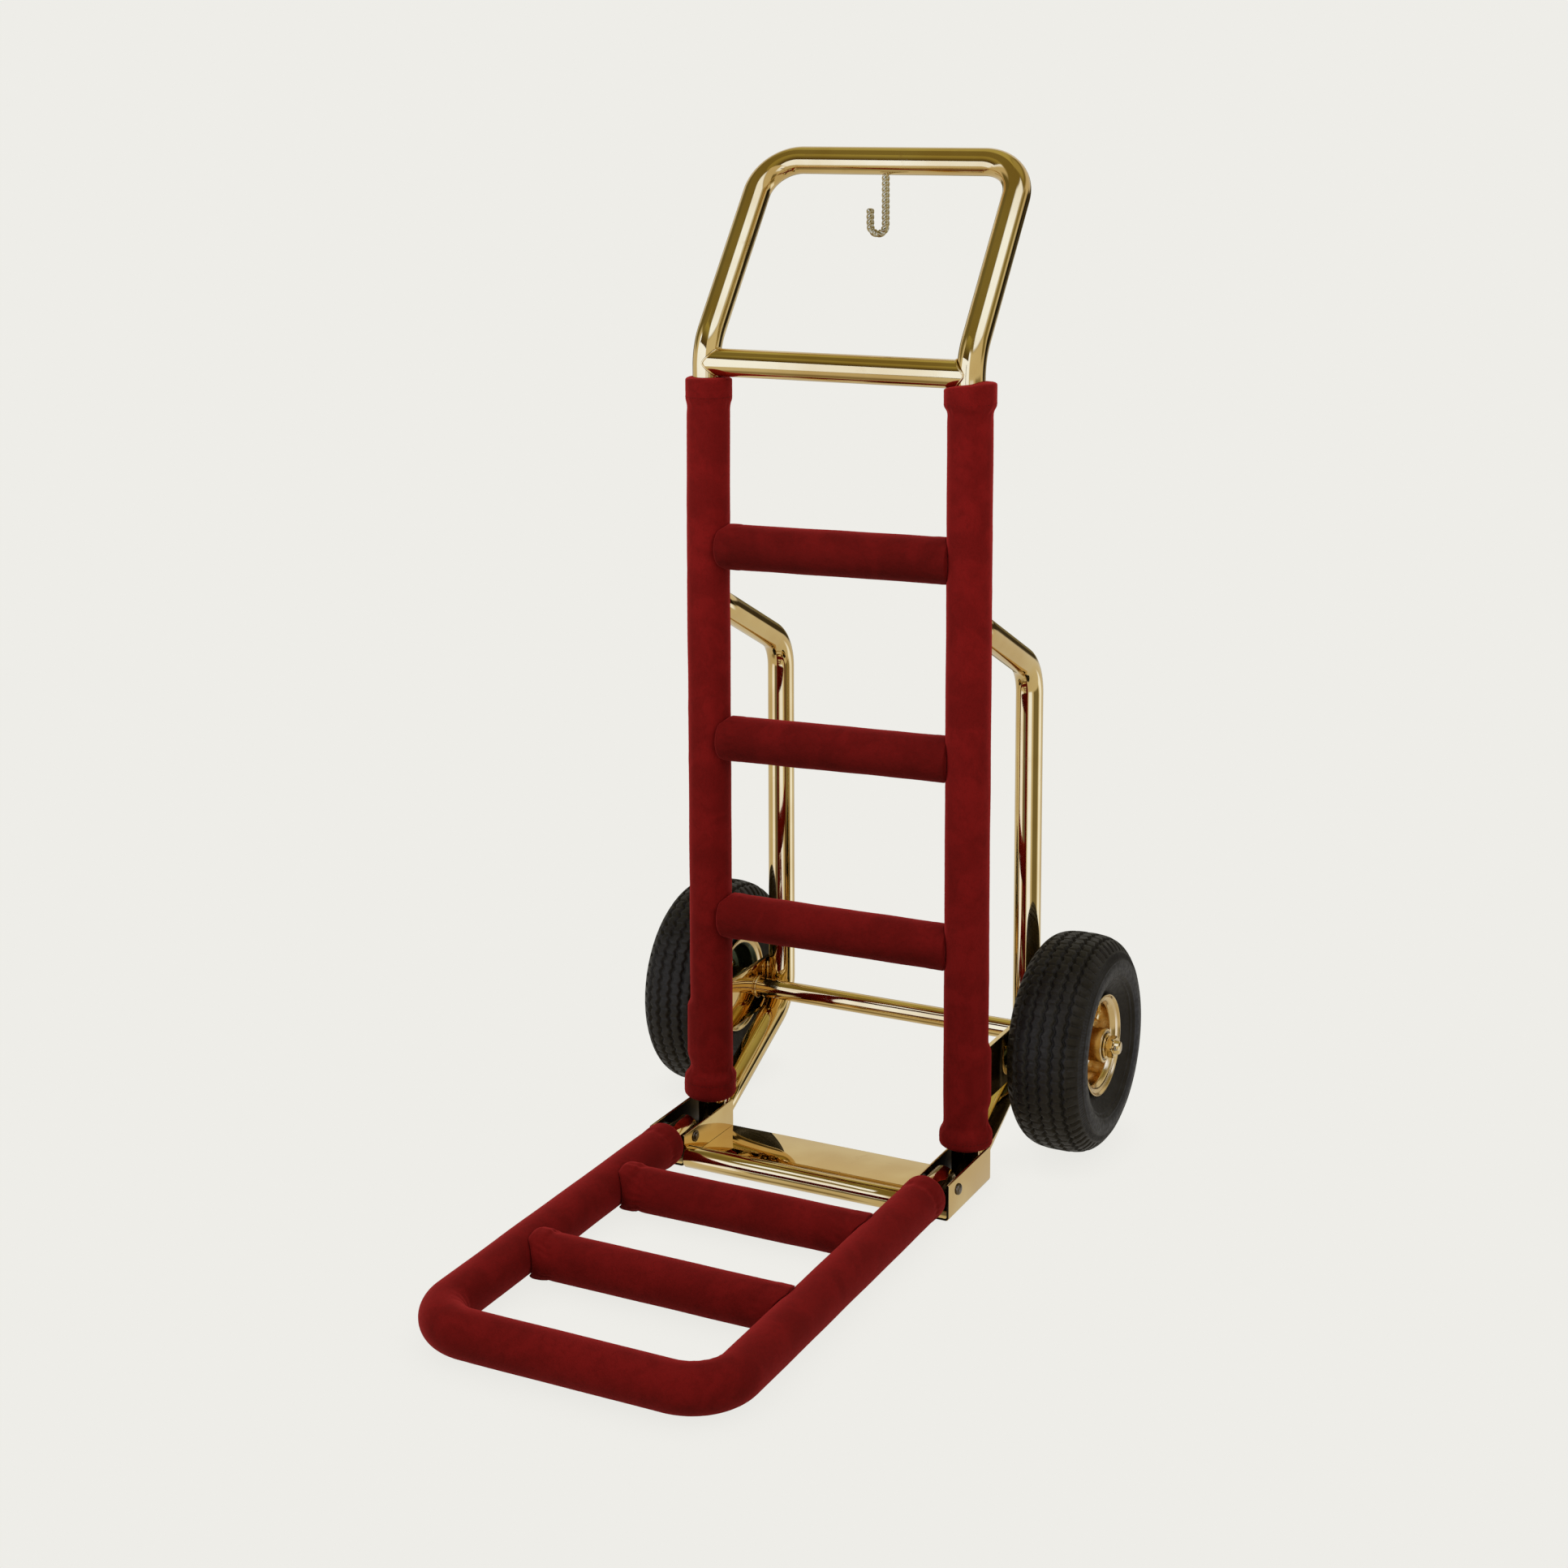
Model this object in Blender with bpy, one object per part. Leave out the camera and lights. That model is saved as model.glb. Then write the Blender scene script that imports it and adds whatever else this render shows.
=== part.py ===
"""Two-wheeled hotel luggage cart (bellman's hand truck).

A bent brass hoop makes the uprights and the backward-leaning handle, with
velvet sleeves over the uprights and rungs.  Two bent tubes behind the uprights
carry the axle and its pneumatic wheels.  A padded toe frame is pinned in two
channels at the foot and folds up against the uprights.

Units are metres, +Z is up, the cart faces -Y and "left" is -X.  The origin is on
the floor, midway between the uprights, in the plane of the uprights' axes.
"""
import math

import bmesh
import bpy
from mathutils import Matrix, Vector

# ----------------------------------------------------------------- dimensions
# _R is a radius, _T a thickness, _W a width; _X, _Y and _Z are positions.
SIDE_SIGNS = {"left": -1, "right": 1}
GAP = 0.0003              # clearance left between neighbouring pieces

HALF_W = 0.163            # upright axis to the centre plane
TUBE_R = 0.016            # 32 mm frame tube
TUBE_BORE_R = TUBE_R - 0.002
TUBE_SIDES = 16
CORE_SIDES = 12           # rungs and toe bars hidden inside the sleeves
SHEET_T = 0.0025          # folded sheet of the foot channels

# Main hoop
UPRIGHT_FOOT_Z = SHEET_T + GAP       # open foot, just above the channel's web
HANDLE_BEND_Z = 0.938     # where the uprights lean back into the handle
HANDLE_BEND_R = 0.070
HANDLE_TOP_Y = 0.156      # axis of the top bar
HANDLE_TOP_Z = 1.1456
HANDLE_CORNER_R = 0.048
CROSSBAR_Z = 0.9203       # bare brass bar just above the sleeves
RUNG_Z = {"top": 0.7106, "middle": 0.4855, "bottom": 0.2705}

# Garment hook under the top bar
HOOK_X = -0.0096
HOOK_ROD_R = 0.0046
HOOK_SIDES = 10
HOOK_SHANK_TOP_Z = 1.1372
HOOK_LOOP_R = 0.0098
HOOK_LOOP_Z = 1.0712      # centre of the half-circle
HOOK_LOOP_STEPS = 8
HOOK_TIP_Z = 1.0905
HOOK_HOLE_DEPTHS = (0.030, 0.003)    # ends of the hole, below the top bar's axis

# Velvet sleeves
SLEEVE_R = 0.0245
SLEEVE_STANDOFF = 0.0006             # the foam pipe inside stands off the tube
SLEEVE_BORE_R = TUBE_R + SLEEVE_STANDOFF
SLEEVE_BOTTOM_Z = 0.0430
SLEEVE_TOP_Z = 0.9035
SLEEVE_TOP_RISE = 0.0080  # the right sleeve is pulled up round the crossbar's end
CROSSBAR_NOTCH_LEN = 0.060
CUFF_R = 0.0288           # flared sleeve ends
CUFF_LEN = 0.034
CUFF_CLEARANCE = 0.01     # sleeve cutters stop this far short of the cuffs
RUNG_SLEEVE_R = 0.0258    # the rung sleeves are a little fatter
RUNG_SLEEVE_HALF = HALF_W - 0.0186
TOE_BAR_SLEEVE_HALF = HALF_W - 0.0190

# Rear tubes
REAR_TOP_Z = 0.649        # axis height where it meets the upright's axis plane
REAR_Y = 0.186            # vertical run
REAR_UPPER_BEND_Z = 0.559
REAR_LOWER_BEND_Z = 0.105
REAR_FOOT_Z = 0.0125      # lower end's axis height in the upright's axis plane
REAR_BEND_R = 0.050
REAR_TOP_END_Y = 0.002    # path ends, inside the upright
REAR_FOOT_END_Y = 0.009

# Axle and the plates on the outer sides of the tubes
TYRE_R = 0.126
AXLE_Y = 0.154
AXLE_Z = TYRE_R           # the tyres stand on the floor
AXLE_TUBE_R = 0.0115
AXLE_TUBE_HALF = HALF_W + TUBE_R
AXLE_ROD_R = 0.0079
AXLE_BORE_R = AXLE_ROD_R + GAP
AXLE_ROD_HALF = 0.2920
AXLE_CUTTER_HALF = 0.22
PLATE_T = 0.005
PLATE_X = HALF_W + TUBE_R + GAP      # inner face of each plate
PLATE_Y = (-0.008, 0.197)
PLATE_Z = (0.095, 0.156)
PLATE_CHAMFER = 0.006
PAD_X = (0.0150, 0.0295)  # bulge over the plate's front end, out from the tube axis
PAD_MARGIN = 0.006        # bulge beyond the plate's front, top and bottom edges
PAD_REAR_Y = SLEEVE_R - 0.004
SLOT_REAR_Y = 0.060
BORE_OVERRUN = 0.01
BORE_EASE = 0.00002       # keeps the recut bore off the sleeve's own bore

# Foot channels and base
CHANNEL_OUT = 0.0246      # tube axis to the channel's outer face
CHANNEL_IN = 0.0208       # and to its inner face
CHANNEL_TOP_Z = 0.041
CHANNEL_IN_TOP_Z = 0.037  # the inner wall is lower
CHANNEL_FRONT_Y = -0.1065
CHANNEL_REAR_Y = 0.014
CHANNEL_FOLD_W = 0.0012
BASE_PLATE_T = 0.0050     # steel plate between the channels, flat on the floor
BASE_PLATE_FRONT_Y = -0.0946
BASE_TUBE_Y = -0.105
BASE_TUBE_R = 0.0125
BASE_TUBE_WALL = 0.0015
BASE_TUBE_Z = BASE_TUBE_R + GAP
BASE_TUBE_HALF = 0.1382

# Toe frame, unfolded
TOE_Z = 0.027             # axis height of its tubes
TOE_FRONT_Y = -0.601
TOE_CORNER_R = 0.050
TOE_BAR_Y = {"rear": -0.233, "front": -0.418}
TOE_SLEEVE_END_Y = -0.1105
CHANNEL_LIP_Z = TOE_Z - TUBE_R - GAP  # turned-up front edge under the toe tube

# Hinge: its axis is parallel to X, at TOE_Z
PIVOT_Y = -0.080
PIVOT = Vector((0.0, PIVOT_Y, TOE_Z))
PIVOT_TAIL = 0.017        # toe tube behind the hinge axis
PIN_R = 0.004
PIN_BORE_R = PIN_R + GAP
PIN_SIDES = 12
PIN_HEAD_R = 0.0064
PIN_HEAD_T = (0.0018, 0.0036)        # to the head's shoulder and to its crown
PIN_CROWN_RATIO = 0.6
PIN_END_LEN = 0.0032      # pin beyond the channel's inner face
PIN_CUTTER_OVERRUN = 0.04
CLIP_R = 0.0067           # spring clip pushed over the pin's inner end
CLIP_T = 0.0012
HINGE_WASHER_R = 0.0088

# Wheels
WHEEL_X = 0.237           # wheel centre plane
TYRE_SEGMENTS = 28
WHEEL_SEGMENTS = 20       # inner tube, rim, hub and bearings
INNER_TUBE_HALF_W = 0.0235
INNER_TUBE_RADII = (0.0545, 0.1130)
INNER_TUBE_WALL = 0.0023
INNER_TUBE_SIDES = 8
RIM_T = 0.0024
HUB_R = 0.0198
HUB_HALF = 0.0380
HUB_BORE_R = AXLE_ROD_R + 0.0025
BEARING_LEN = 0.012
BEARING_R = 0.0165
SPACER_R = 0.0125
WASHER_R = 0.0150
WASHER_T = 0.002
NUT_T = 0.0095
NUT_FLAT_R = 0.0115       # axis to the flats
NUT_SEGMENTS = 12
VALVE_ANGLE = math.radians(35.0)     # from +Y towards +Z
VALVE_OUT = 0.0140        # outward from the wheel's centre plane
VALVE_R = 0.0040
VALVE_BORE_R = 0.0015
VALVE_SPAN = (0.0330, 0.0640)        # distances of its ends from the wheel's axis
VALVE_HOLE_R = 0.0045
VALVE_HOLE_SPAN = (0.030, 0.075)
VALVE_SIDES = 10

# Half the tyre's section, (x, r) from the crown round to the bead and back inside
TYRE_HALF_OUTLINE = [
    (0.000, TYRE_R), (0.020, 0.1252), (0.035, 0.1205), (0.0450, 0.1070),
    (0.0480, 0.0920), (0.0450, 0.0765), (0.0318, 0.0624),
    (0.0282, 0.0545), (0.0250, 0.0501), (0.0205, 0.0499),
    (0.0290, 0.0640), (0.0400, 0.0800), (0.0395, 0.1010), (0.0270, 0.1150), (0.000, 0.1184)]

# Middle line of a rim half's sheet, (x, r) from the hub out to the edge
RIM_PATH = [
    (0.0016, HUB_R + 0.0006), (0.0016, 0.0390), (0.0046, 0.0448), (0.0110, 0.0464),
    (0.0262, 0.0476), (0.0302, 0.0508), (0.0312, 0.0564), (0.0338, 0.0580)]

FINISHES = {
    "brass": dict(colour=(0.83, 0.62, 0.26), roughness=0.10, metallic=1.0),
    "velvet": dict(colour=(0.24, 0.008, 0.010), roughness=0.85, metallic=0.0),
    "rubber": dict(colour=(0.018, 0.018, 0.019), roughness=0.75, metallic=0.0),
    "steel": dict(colour=(0.55, 0.55, 0.56), roughness=0.30, metallic=1.0),
    "nylon": dict(colour=(0.05, 0.05, 0.05), roughness=0.50, metallic=0.0),
}


# -------------------------------------------------------------- object helpers
def clear_scene():
    for old in list(bpy.data.objects):
        bpy.data.objects.remove(old, do_unlink=True)


def make_material(name, colour, roughness, metallic):
    material = bpy.data.materials.new(name)
    material.use_nodes = True
    shader = material.node_tree.nodes["Principled BSDF"]
    shader.inputs["Base Color"].default_value = (*colour, 1.0)
    shader.inputs["Roughness"].default_value = roughness
    shader.inputs["Metallic"].default_value = metallic
    material.diffuse_color = (*colour, 1.0)
    return material


def add_object(name, bm, finish=None, parent=None):
    """Link a world-space bmesh as an object; its origin is its parent's, or the world's."""
    bmesh.ops.recalc_face_normals(bm, faces=bm.faces)
    if parent:
        bmesh.ops.translate(bm, verts=bm.verts, vec=-parent.location)
    mesh = bpy.data.meshes.new(name)
    bm.to_mesh(mesh)
    bm.free()
    obj = bpy.data.objects.new(name, mesh)
    bpy.context.scene.collection.objects.link(obj)
    obj.parent = parent
    if finish:
        mesh.materials.append(make_material("mat_" + name, **FINISHES[finish]))
    mesh.shade_smooth()
    mesh.set_sharp_from_angle(angle=math.radians(40.0))
    return obj


def add_empty(name, location):
    empty = bpy.data.objects.new(name, None)
    empty.location = location
    bpy.context.scene.collection.objects.link(empty)
    return empty


def add_cutter(name, bm):
    """A hidden helper for boolean modifiers."""
    cutter = add_object(name, bm)
    cutter.hide_render = True
    cutter.display_type = "WIRE"
    return cutter


def cut(obj, cutter, operation="DIFFERENCE"):
    modifier = obj.modifiers.new(cutter.name, "BOOLEAN")
    modifier.operation = operation
    modifier.solver = "EXACT"
    modifier.object = cutter


# ---------------------------------------------------------------- mesh helpers
def fillet_path(corners, radii, steps=4):
    """Straight runs joined by arcs: one radius for each inner corner."""
    points = [Vector(corners[0])]
    for before, corner, after, radius in zip(corners, corners[1:], corners[2:], radii):
        corner = Vector(corner)
        back = (Vector(before) - corner).normalized()
        ahead = (Vector(after) - corner).normalized()
        half_angle = back.angle(ahead) / 2.0
        reach = radius / math.tan(half_angle)
        centre = corner + (back + ahead).normalized() * (radius / math.sin(half_angle))
        start = corner + back * reach - centre
        end = corner + ahead * reach - centre
        axis = start.cross(end).normalized()
        turn = start.angle(end)
        for k in range(steps + 1):
            points.append(centre + Matrix.Rotation(turn * k / steps, 3, axis) @ start)
    points.append(Vector(corners[-1]))
    return points


def path_tangents(points):
    """Mean direction at each point; at an end, one of the two terms is zero."""
    befores = points[:1] + points[:-1]
    afters = points[1:] + points[-1:]
    return [((point - before).normalized() + (after - point).normalized()).normalized()
            for before, point, after in zip(befores, points, afters)]


def bridge(bm, ring_a, ring_b):
    """Join two closed rings of vertices with quads."""
    count = len(ring_a)
    for i in range(count):
        j = (i + 1) % count
        bm.faces.new((ring_a[i], ring_a[j], ring_b[j], ring_b[i]))


def sweep_bm(path, radius, inner=0.0, sides=TUBE_SIDES, across=(1, 0, 0)):
    """A round section carried along `path`; hollow and open-ended if inner > 0.

    `radius` is one number or a list with one for each point; `across` is the
    direction from the axis to the first vertex of the section.
    """
    bm = bmesh.new()
    points = [Vector(point) for point in path]
    radii = radius if isinstance(radius, list) else [radius] * len(points)
    tangents = path_tangents(points)
    normal = Vector(across)
    outer_rings, inner_rings = [], []
    for i, (point, tangent) in enumerate(zip(points, tangents)):
        incoming = tangent
        if i:
            normal = tangents[i - 1].rotation_difference(tangent) @ normal
            incoming = (point - points[i - 1]).normalized()
        normal = (normal - tangent * normal.dot(tangent)).normalized()
        binormal = tangent.cross(normal)
        angles = [2.0 * math.pi * k / sides for k in range(sides)]
        spokes = [normal * math.cos(angle) + binormal * math.sin(angle) for angle in angles]
        # a mitred ring is stretched so that straight runs keep their radius
        alignment = incoming.dot(tangent)
        if alignment < 0.99999:
            lean = (incoming - tangent * alignment).normalized()
            stretch = 1.0 / alignment - 1.0
            spokes = [spoke + lean * spoke.dot(lean) * stretch for spoke in spokes]
        outer_rings.append([bm.verts.new(point + spoke * radii[i]) for spoke in spokes])
        if inner > 0.0:
            inner_rings.append([bm.verts.new(point + spoke * inner) for spoke in spokes])
    for rings in (outer_rings, inner_rings):
        for ring_a, ring_b in zip(rings, rings[1:]):
            bridge(bm, ring_a, ring_b)
    if inner_rings:
        for end in (0, -1):
            bridge(bm, outer_rings[end], inner_rings[end])
    else:
        bm.faces.new(outer_rings[0])
        bm.faces.new(outer_rings[-1][::-1])
    return bm


def cross_rod_bm(half_length, y, z, radius, inner=0.0, sides=TUBE_SIDES):
    """A straight rod or tube along X, centred between the uprights."""
    return sweep_bm([(-half_length, y, z), (half_length, y, z)], radius, inner, sides, (0, 1, 0))


def skin_bm(rings):
    """A solid through rings of points, capped at both ends."""
    bm = bmesh.new()
    rings = [[bm.verts.new(point) for point in ring] for ring in rings]
    for ring_a, ring_b in zip(rings, rings[1:]):
        bridge(bm, ring_a, ring_b)
    bm.faces.new(rings[0])
    bm.faces.new(rings[-1][::-1])
    return bm


def prism_bm(outline_yz, x_start, x_end):
    return skin_bm([[(x, y, z) for y, z in outline_yz] for x in (x_start, x_end)])


def box_bm(low, high):
    return prism_bm([(low[1], low[2]), (high[1], low[2]), (high[1], high[2]), (low[1], high[2])],
                    low[0], high[0])


def revolve_bm(profile, segments, centre):
    """Closed (x, r) outline turned about a line parallel to X through `centre`."""
    bm = bmesh.new()
    centre_x, centre_y, centre_z = centre
    rings = []
    for k in range(segments):
        angle = 2.0 * math.pi * k / segments
        rings.append([bm.verts.new((centre_x + x, centre_y + r * math.cos(angle),
                                    centre_z + r * math.sin(angle))) for x, r in profile])
    for ring_a, ring_b in zip(rings, rings[1:] + rings[:1]):
        bridge(bm, ring_a, ring_b)
    return bm


def ring_bm(x_start, x_end, inner, outer, segments, centre):
    return revolve_bm([(x_start, inner), (x_end, inner), (x_end, outer), (x_start, outer)],
                      segments, centre)


def sheet_outline(path, thickness):
    """Closed outline of a sheet of constant thickness about an (x, r) path."""
    left, right = [], []
    points = [Vector(point) for point in path]
    for i, (point, direction) in enumerate(zip(points, path_tangents(points))):
        leg = (point - points[i - 1] if i else points[1] - point).normalized()
        normal = Vector((-direction.y, direction.x))
        offset = normal * (thickness / 2.0 / direction.dot(leg))
        left.append(tuple(point + offset))
        right.append(tuple(point - offset))
    return left + right[::-1]


# ------------------------------------------------------- hoop, hook and rungs
def build_frame():
    """The main bent hoop; returns the cutter that copes other tubes to it."""
    path = fillet_path(
        [(-HALF_W, 0, UPRIGHT_FOOT_Z), (-HALF_W, 0, HANDLE_BEND_Z),
         (-HALF_W, HANDLE_TOP_Y, HANDLE_TOP_Z), (HALF_W, HANDLE_TOP_Y, HANDLE_TOP_Z),
         (HALF_W, 0, HANDLE_BEND_Z), (HALF_W, 0, UPRIGHT_FOOT_Z)],
        [HANDLE_BEND_R, HANDLE_CORNER_R, HANDLE_CORNER_R, HANDLE_BEND_R])
    frame = add_object("frame_tube", sweep_bm(path, TUBE_R, TUBE_BORE_R), "brass")
    # hole in the underside of the top bar for the garment hook's shank
    hole = [(HOOK_X, HANDLE_TOP_Y, HANDLE_TOP_Z - depth) for depth in HOOK_HOLE_DEPTHS]
    cut(frame, add_cutter("cutter_hook", sweep_bm(hole, HOOK_ROD_R + GAP, sides=HOOK_SIDES)))
    return add_cutter("cutter_frame", sweep_bm(path, TUBE_R + GAP))


def build_garment_hook():
    """Straight shank, half-circle and short upturned tip."""
    path = [(HOOK_X, HANDLE_TOP_Y, HOOK_SHANK_TOP_Z)]
    for step in range(HOOK_LOOP_STEPS + 1):
        angle = math.pi * step / HOOK_LOOP_STEPS
        path.append((HOOK_X - HOOK_LOOP_R + HOOK_LOOP_R * math.cos(angle),
                     HANDLE_TOP_Y, HOOK_LOOP_Z - HOOK_LOOP_R * math.sin(angle)))
    path.append((HOOK_X - 2 * HOOK_LOOP_R, HANDLE_TOP_Y, HOOK_TIP_Z))
    add_object("garment_hook", sweep_bm(path, HOOK_ROD_R, sides=HOOK_SIDES), "brass")


def build_crossbar(frame_cutter):
    bar = add_object("handle_crossbar",
                     cross_rod_bm(HALF_W, 0, CROSSBAR_Z, TUBE_R, TUBE_BORE_R), "brass")
    cut(bar, frame_cutter)


def build_rungs(frame_cutter):
    """The three rung cores; returns the cutters that open the sleeves for them."""
    cutters = []
    for level, z in RUNG_Z.items():
        rung = add_object("rung_" + level, cross_rod_bm(
            HALF_W, 0, z, TUBE_R, TUBE_BORE_R, CORE_SIDES), "brass")
        cut(rung, frame_cutter)
        cutters.append(add_cutter("cutter_rung_" + level, cross_rod_bm(
            HALF_W, 0, z, TUBE_R + GAP, sides=CORE_SIDES)))
    return cutters


def build_rear_tube(side, sign, frame_cutter):
    """Bent tube behind one upright; returns its cutter."""
    x = sign * HALF_W
    top_slope = (REAR_TOP_Z - REAR_UPPER_BEND_Z) / REAR_Y
    foot_slope = (REAR_LOWER_BEND_Z - REAR_FOOT_Z) / REAR_Y
    path = fillet_path(
        [(x, REAR_TOP_END_Y, REAR_TOP_Z - REAR_TOP_END_Y * top_slope),
         (x, REAR_Y, REAR_UPPER_BEND_Z), (x, REAR_Y, REAR_LOWER_BEND_Z),
         (x, REAR_FOOT_END_Y, REAR_FOOT_Z + REAR_FOOT_END_Y * foot_slope)],
        [REAR_BEND_R, REAR_BEND_R])
    tube = add_object("rear_tube_" + side, sweep_bm(path, TUBE_R, TUBE_BORE_R), "brass")
    cut(tube, frame_cutter)
    return add_cutter("cutter_rear_" + side, sweep_bm(path, TUBE_R + GAP))


# -------------------------------------------------------------- velvet sleeves
def shape_sleeve_at_plate(sleeve, side, sign):
    """Bulge the sleeve over the axle plate's front end, slot it and clear the bore."""
    x = sign * HALF_W
    bottom, top = PLATE_Z
    cut(sleeve, add_cutter("pad_" + side, box_bm(
        (x + sign * PAD_X[0], PLATE_Y[0] - PAD_MARGIN, bottom - PAD_MARGIN),
        (x + sign * PAD_X[1], PAD_REAR_Y, top + PAD_MARGIN))), "UNION")
    slot_low_x, slot_high_x = sorted((sign * (PLATE_X - GAP), sign * (PLATE_X + PLATE_T + GAP)))
    cut(sleeve, add_cutter("slot_" + side, box_bm(
        (slot_low_x, PLATE_Y[0] - GAP, bottom - GAP), (slot_high_x, SLOT_REAR_Y, top + GAP))))
    cut(sleeve, add_cutter("bore_" + side, sweep_bm(
        [(x, 0, bottom - BORE_OVERRUN), (x, 0, top + BORE_OVERRUN)],
        SLEEVE_BORE_R + BORE_EASE)))


def build_upright_sleeve(side, sign, rung_cutters, rear_cutter):
    """Sleeve with flared cuffs; returns the cutter for the rung sleeves' ends."""
    x = sign * HALF_W
    bottom = SLEEVE_BOTTOM_Z
    top = SLEEVE_TOP_Z + (SLEEVE_TOP_RISE if side == "right" else 0.0)
    stations = [          # (z, outer radius)
        (bottom, CUFF_R - 0.0035), (bottom + 0.005, CUFF_R),
        (bottom + CUFF_LEN - 0.010, CUFF_R), (bottom + CUFF_LEN, SLEEVE_R),
        (top - CUFF_LEN, SLEEVE_R), (top - CUFF_LEN + 0.008, CUFF_R - 0.0008),
        (top - 0.004, CUFF_R), (top, CUFF_R - 0.0020)]
    sleeve = add_object("upright_sleeve_" + side, sweep_bm(
        [(x, 0, z) for z, _ in stations], [radius for _, radius in stations],
        SLEEVE_BORE_R), "velvet")
    shape_sleeve_at_plate(sleeve, side, sign)
    for cutter in (*rung_cutters, rear_cutter):
        cut(sleeve, cutter)
    if side == "right":
        cut(sleeve, add_cutter("cutter_crossbar_end", sweep_bm(
            [(HALF_W - CROSSBAR_NOTCH_LEN, 0, CROSSBAR_Z), (HALF_W, 0, CROSSBAR_Z)],
            TUBE_R + SLEEVE_STANDOFF, across=(0, 1, 0))))
    return add_cutter("cutter_sleeve_" + side, sweep_bm(
        [(x, 0, bottom + CUFF_LEN + CUFF_CLEARANCE), (x, 0, top - CUFF_LEN - CUFF_CLEARANCE)],
        SLEEVE_R + GAP))


def build_rung_sleeves(sleeve_cutters):
    for level, z in RUNG_Z.items():
        sleeve = add_object("rung_sleeve_" + level, cross_rod_bm(
            RUNG_SLEEVE_HALF, 0, z, RUNG_SLEEVE_R, SLEEVE_BORE_R), "velvet")
        for cutter in sleeve_cutters:
            cut(sleeve, cutter)


# ------------------------------------------------------------ axle and plates
def build_axle():
    add_object("axle_tube", cross_rod_bm(
        AXLE_TUBE_HALF, AXLE_Y, AXLE_Z, AXLE_TUBE_R, AXLE_BORE_R), "brass")
    add_object("axle_rod", cross_rod_bm(AXLE_ROD_HALF, AXLE_Y, AXLE_Z, AXLE_ROD_R), "steel")


def build_axle_plates():
    """Chamfered plates, pierced by the axle rod."""
    front, rear = PLATE_Y
    bottom, top = PLATE_Z
    chamfer = PLATE_CHAMFER
    outline = [(front + chamfer, bottom), (rear - chamfer, bottom),
               (rear, bottom + chamfer), (rear, top - chamfer),
               (rear - chamfer, top), (front + chamfer, top),
               (front, top - chamfer), (front, bottom + chamfer)]
    rod_cutter = add_cutter("cutter_rod", cross_rod_bm(
        AXLE_CUTTER_HALF, AXLE_Y, AXLE_Z, AXLE_BORE_R))
    for side, sign in SIDE_SIGNS.items():
        plate = add_object("axle_plate_" + side, prism_bm(
            outline, sign * PLATE_X, sign * (PLATE_X + PLATE_T)), "brass")
        cut(plate, rod_cutter)


# --------------------------------------------------------------- foot and base
def build_foot_channel(side, sign, pin_cutter):
    """Folded channel round the upright's foot, with a turned-up front lip."""
    x = sign * HALF_W
    outer = x + sign * CHANNEL_OUT
    inner = x - sign * CHANNEL_IN
    sheet = sign * SHEET_T
    section = [           # (x, z)
        (inner, CHANNEL_IN_TOP_Z), (inner, 0.0), (outer, 0.0), (outer, CHANNEL_TOP_Z),
        (outer - sheet, CHANNEL_TOP_Z), (outer - sheet, SHEET_T),
        (inner + sheet, SHEET_T), (inner + sheet, CHANNEL_IN_TOP_Z)]
    channel = add_object("foot_channel_" + side, skin_bm(
        [[(px, y, z) for px, z in section] for y in (CHANNEL_FRONT_Y, CHANNEL_REAR_Y)]), "brass")
    bevel = channel.modifiers.new("fold_radius", "BEVEL")
    bevel.width = CHANNEL_FOLD_W
    bevel.segments = 1
    bevel.limit_method = "ANGLE"
    # the lip starts and ends halfway through the sheet, so that it fuses with it
    lip_low_x, lip_high_x = sorted((inner + sheet / 2, outer - sheet / 2))
    cut(channel, add_cutter("lip_" + side, box_bm(
        (lip_low_x, CHANNEL_FRONT_Y, SHEET_T / 2),
        (lip_high_x, CHANNEL_FRONT_Y + SHEET_T, CHANNEL_LIP_Z))), "UNION")
    cut(channel, pin_cutter)


def build_base():
    """Plate and front tube between the channels."""
    half_width = HALF_W - CHANNEL_IN - GAP
    add_object("base_plate", box_bm(
        (-half_width, BASE_PLATE_FRONT_Y, 0.0),
        (half_width, CHANNEL_REAR_Y, BASE_PLATE_T)), "brass")
    add_object("base_front_tube", cross_rod_bm(
        BASE_TUBE_HALF, BASE_TUBE_Y, BASE_TUBE_Z, BASE_TUBE_R,
        BASE_TUBE_R - BASE_TUBE_WALL), "brass")


# -------------------------------------------------------- toe frame and hinge
def toe_path(rear_y):
    """U-shaped path of the toe frame, with both ends at `rear_y`."""
    return fillet_path(
        [(-HALF_W, rear_y, TOE_Z), (-HALF_W, TOE_FRONT_Y, TOE_Z),
         (HALF_W, TOE_FRONT_Y, TOE_Z), (HALF_W, rear_y, TOE_Z)],
        [TOE_CORNER_R, TOE_CORNER_R], steps=5)


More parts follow.
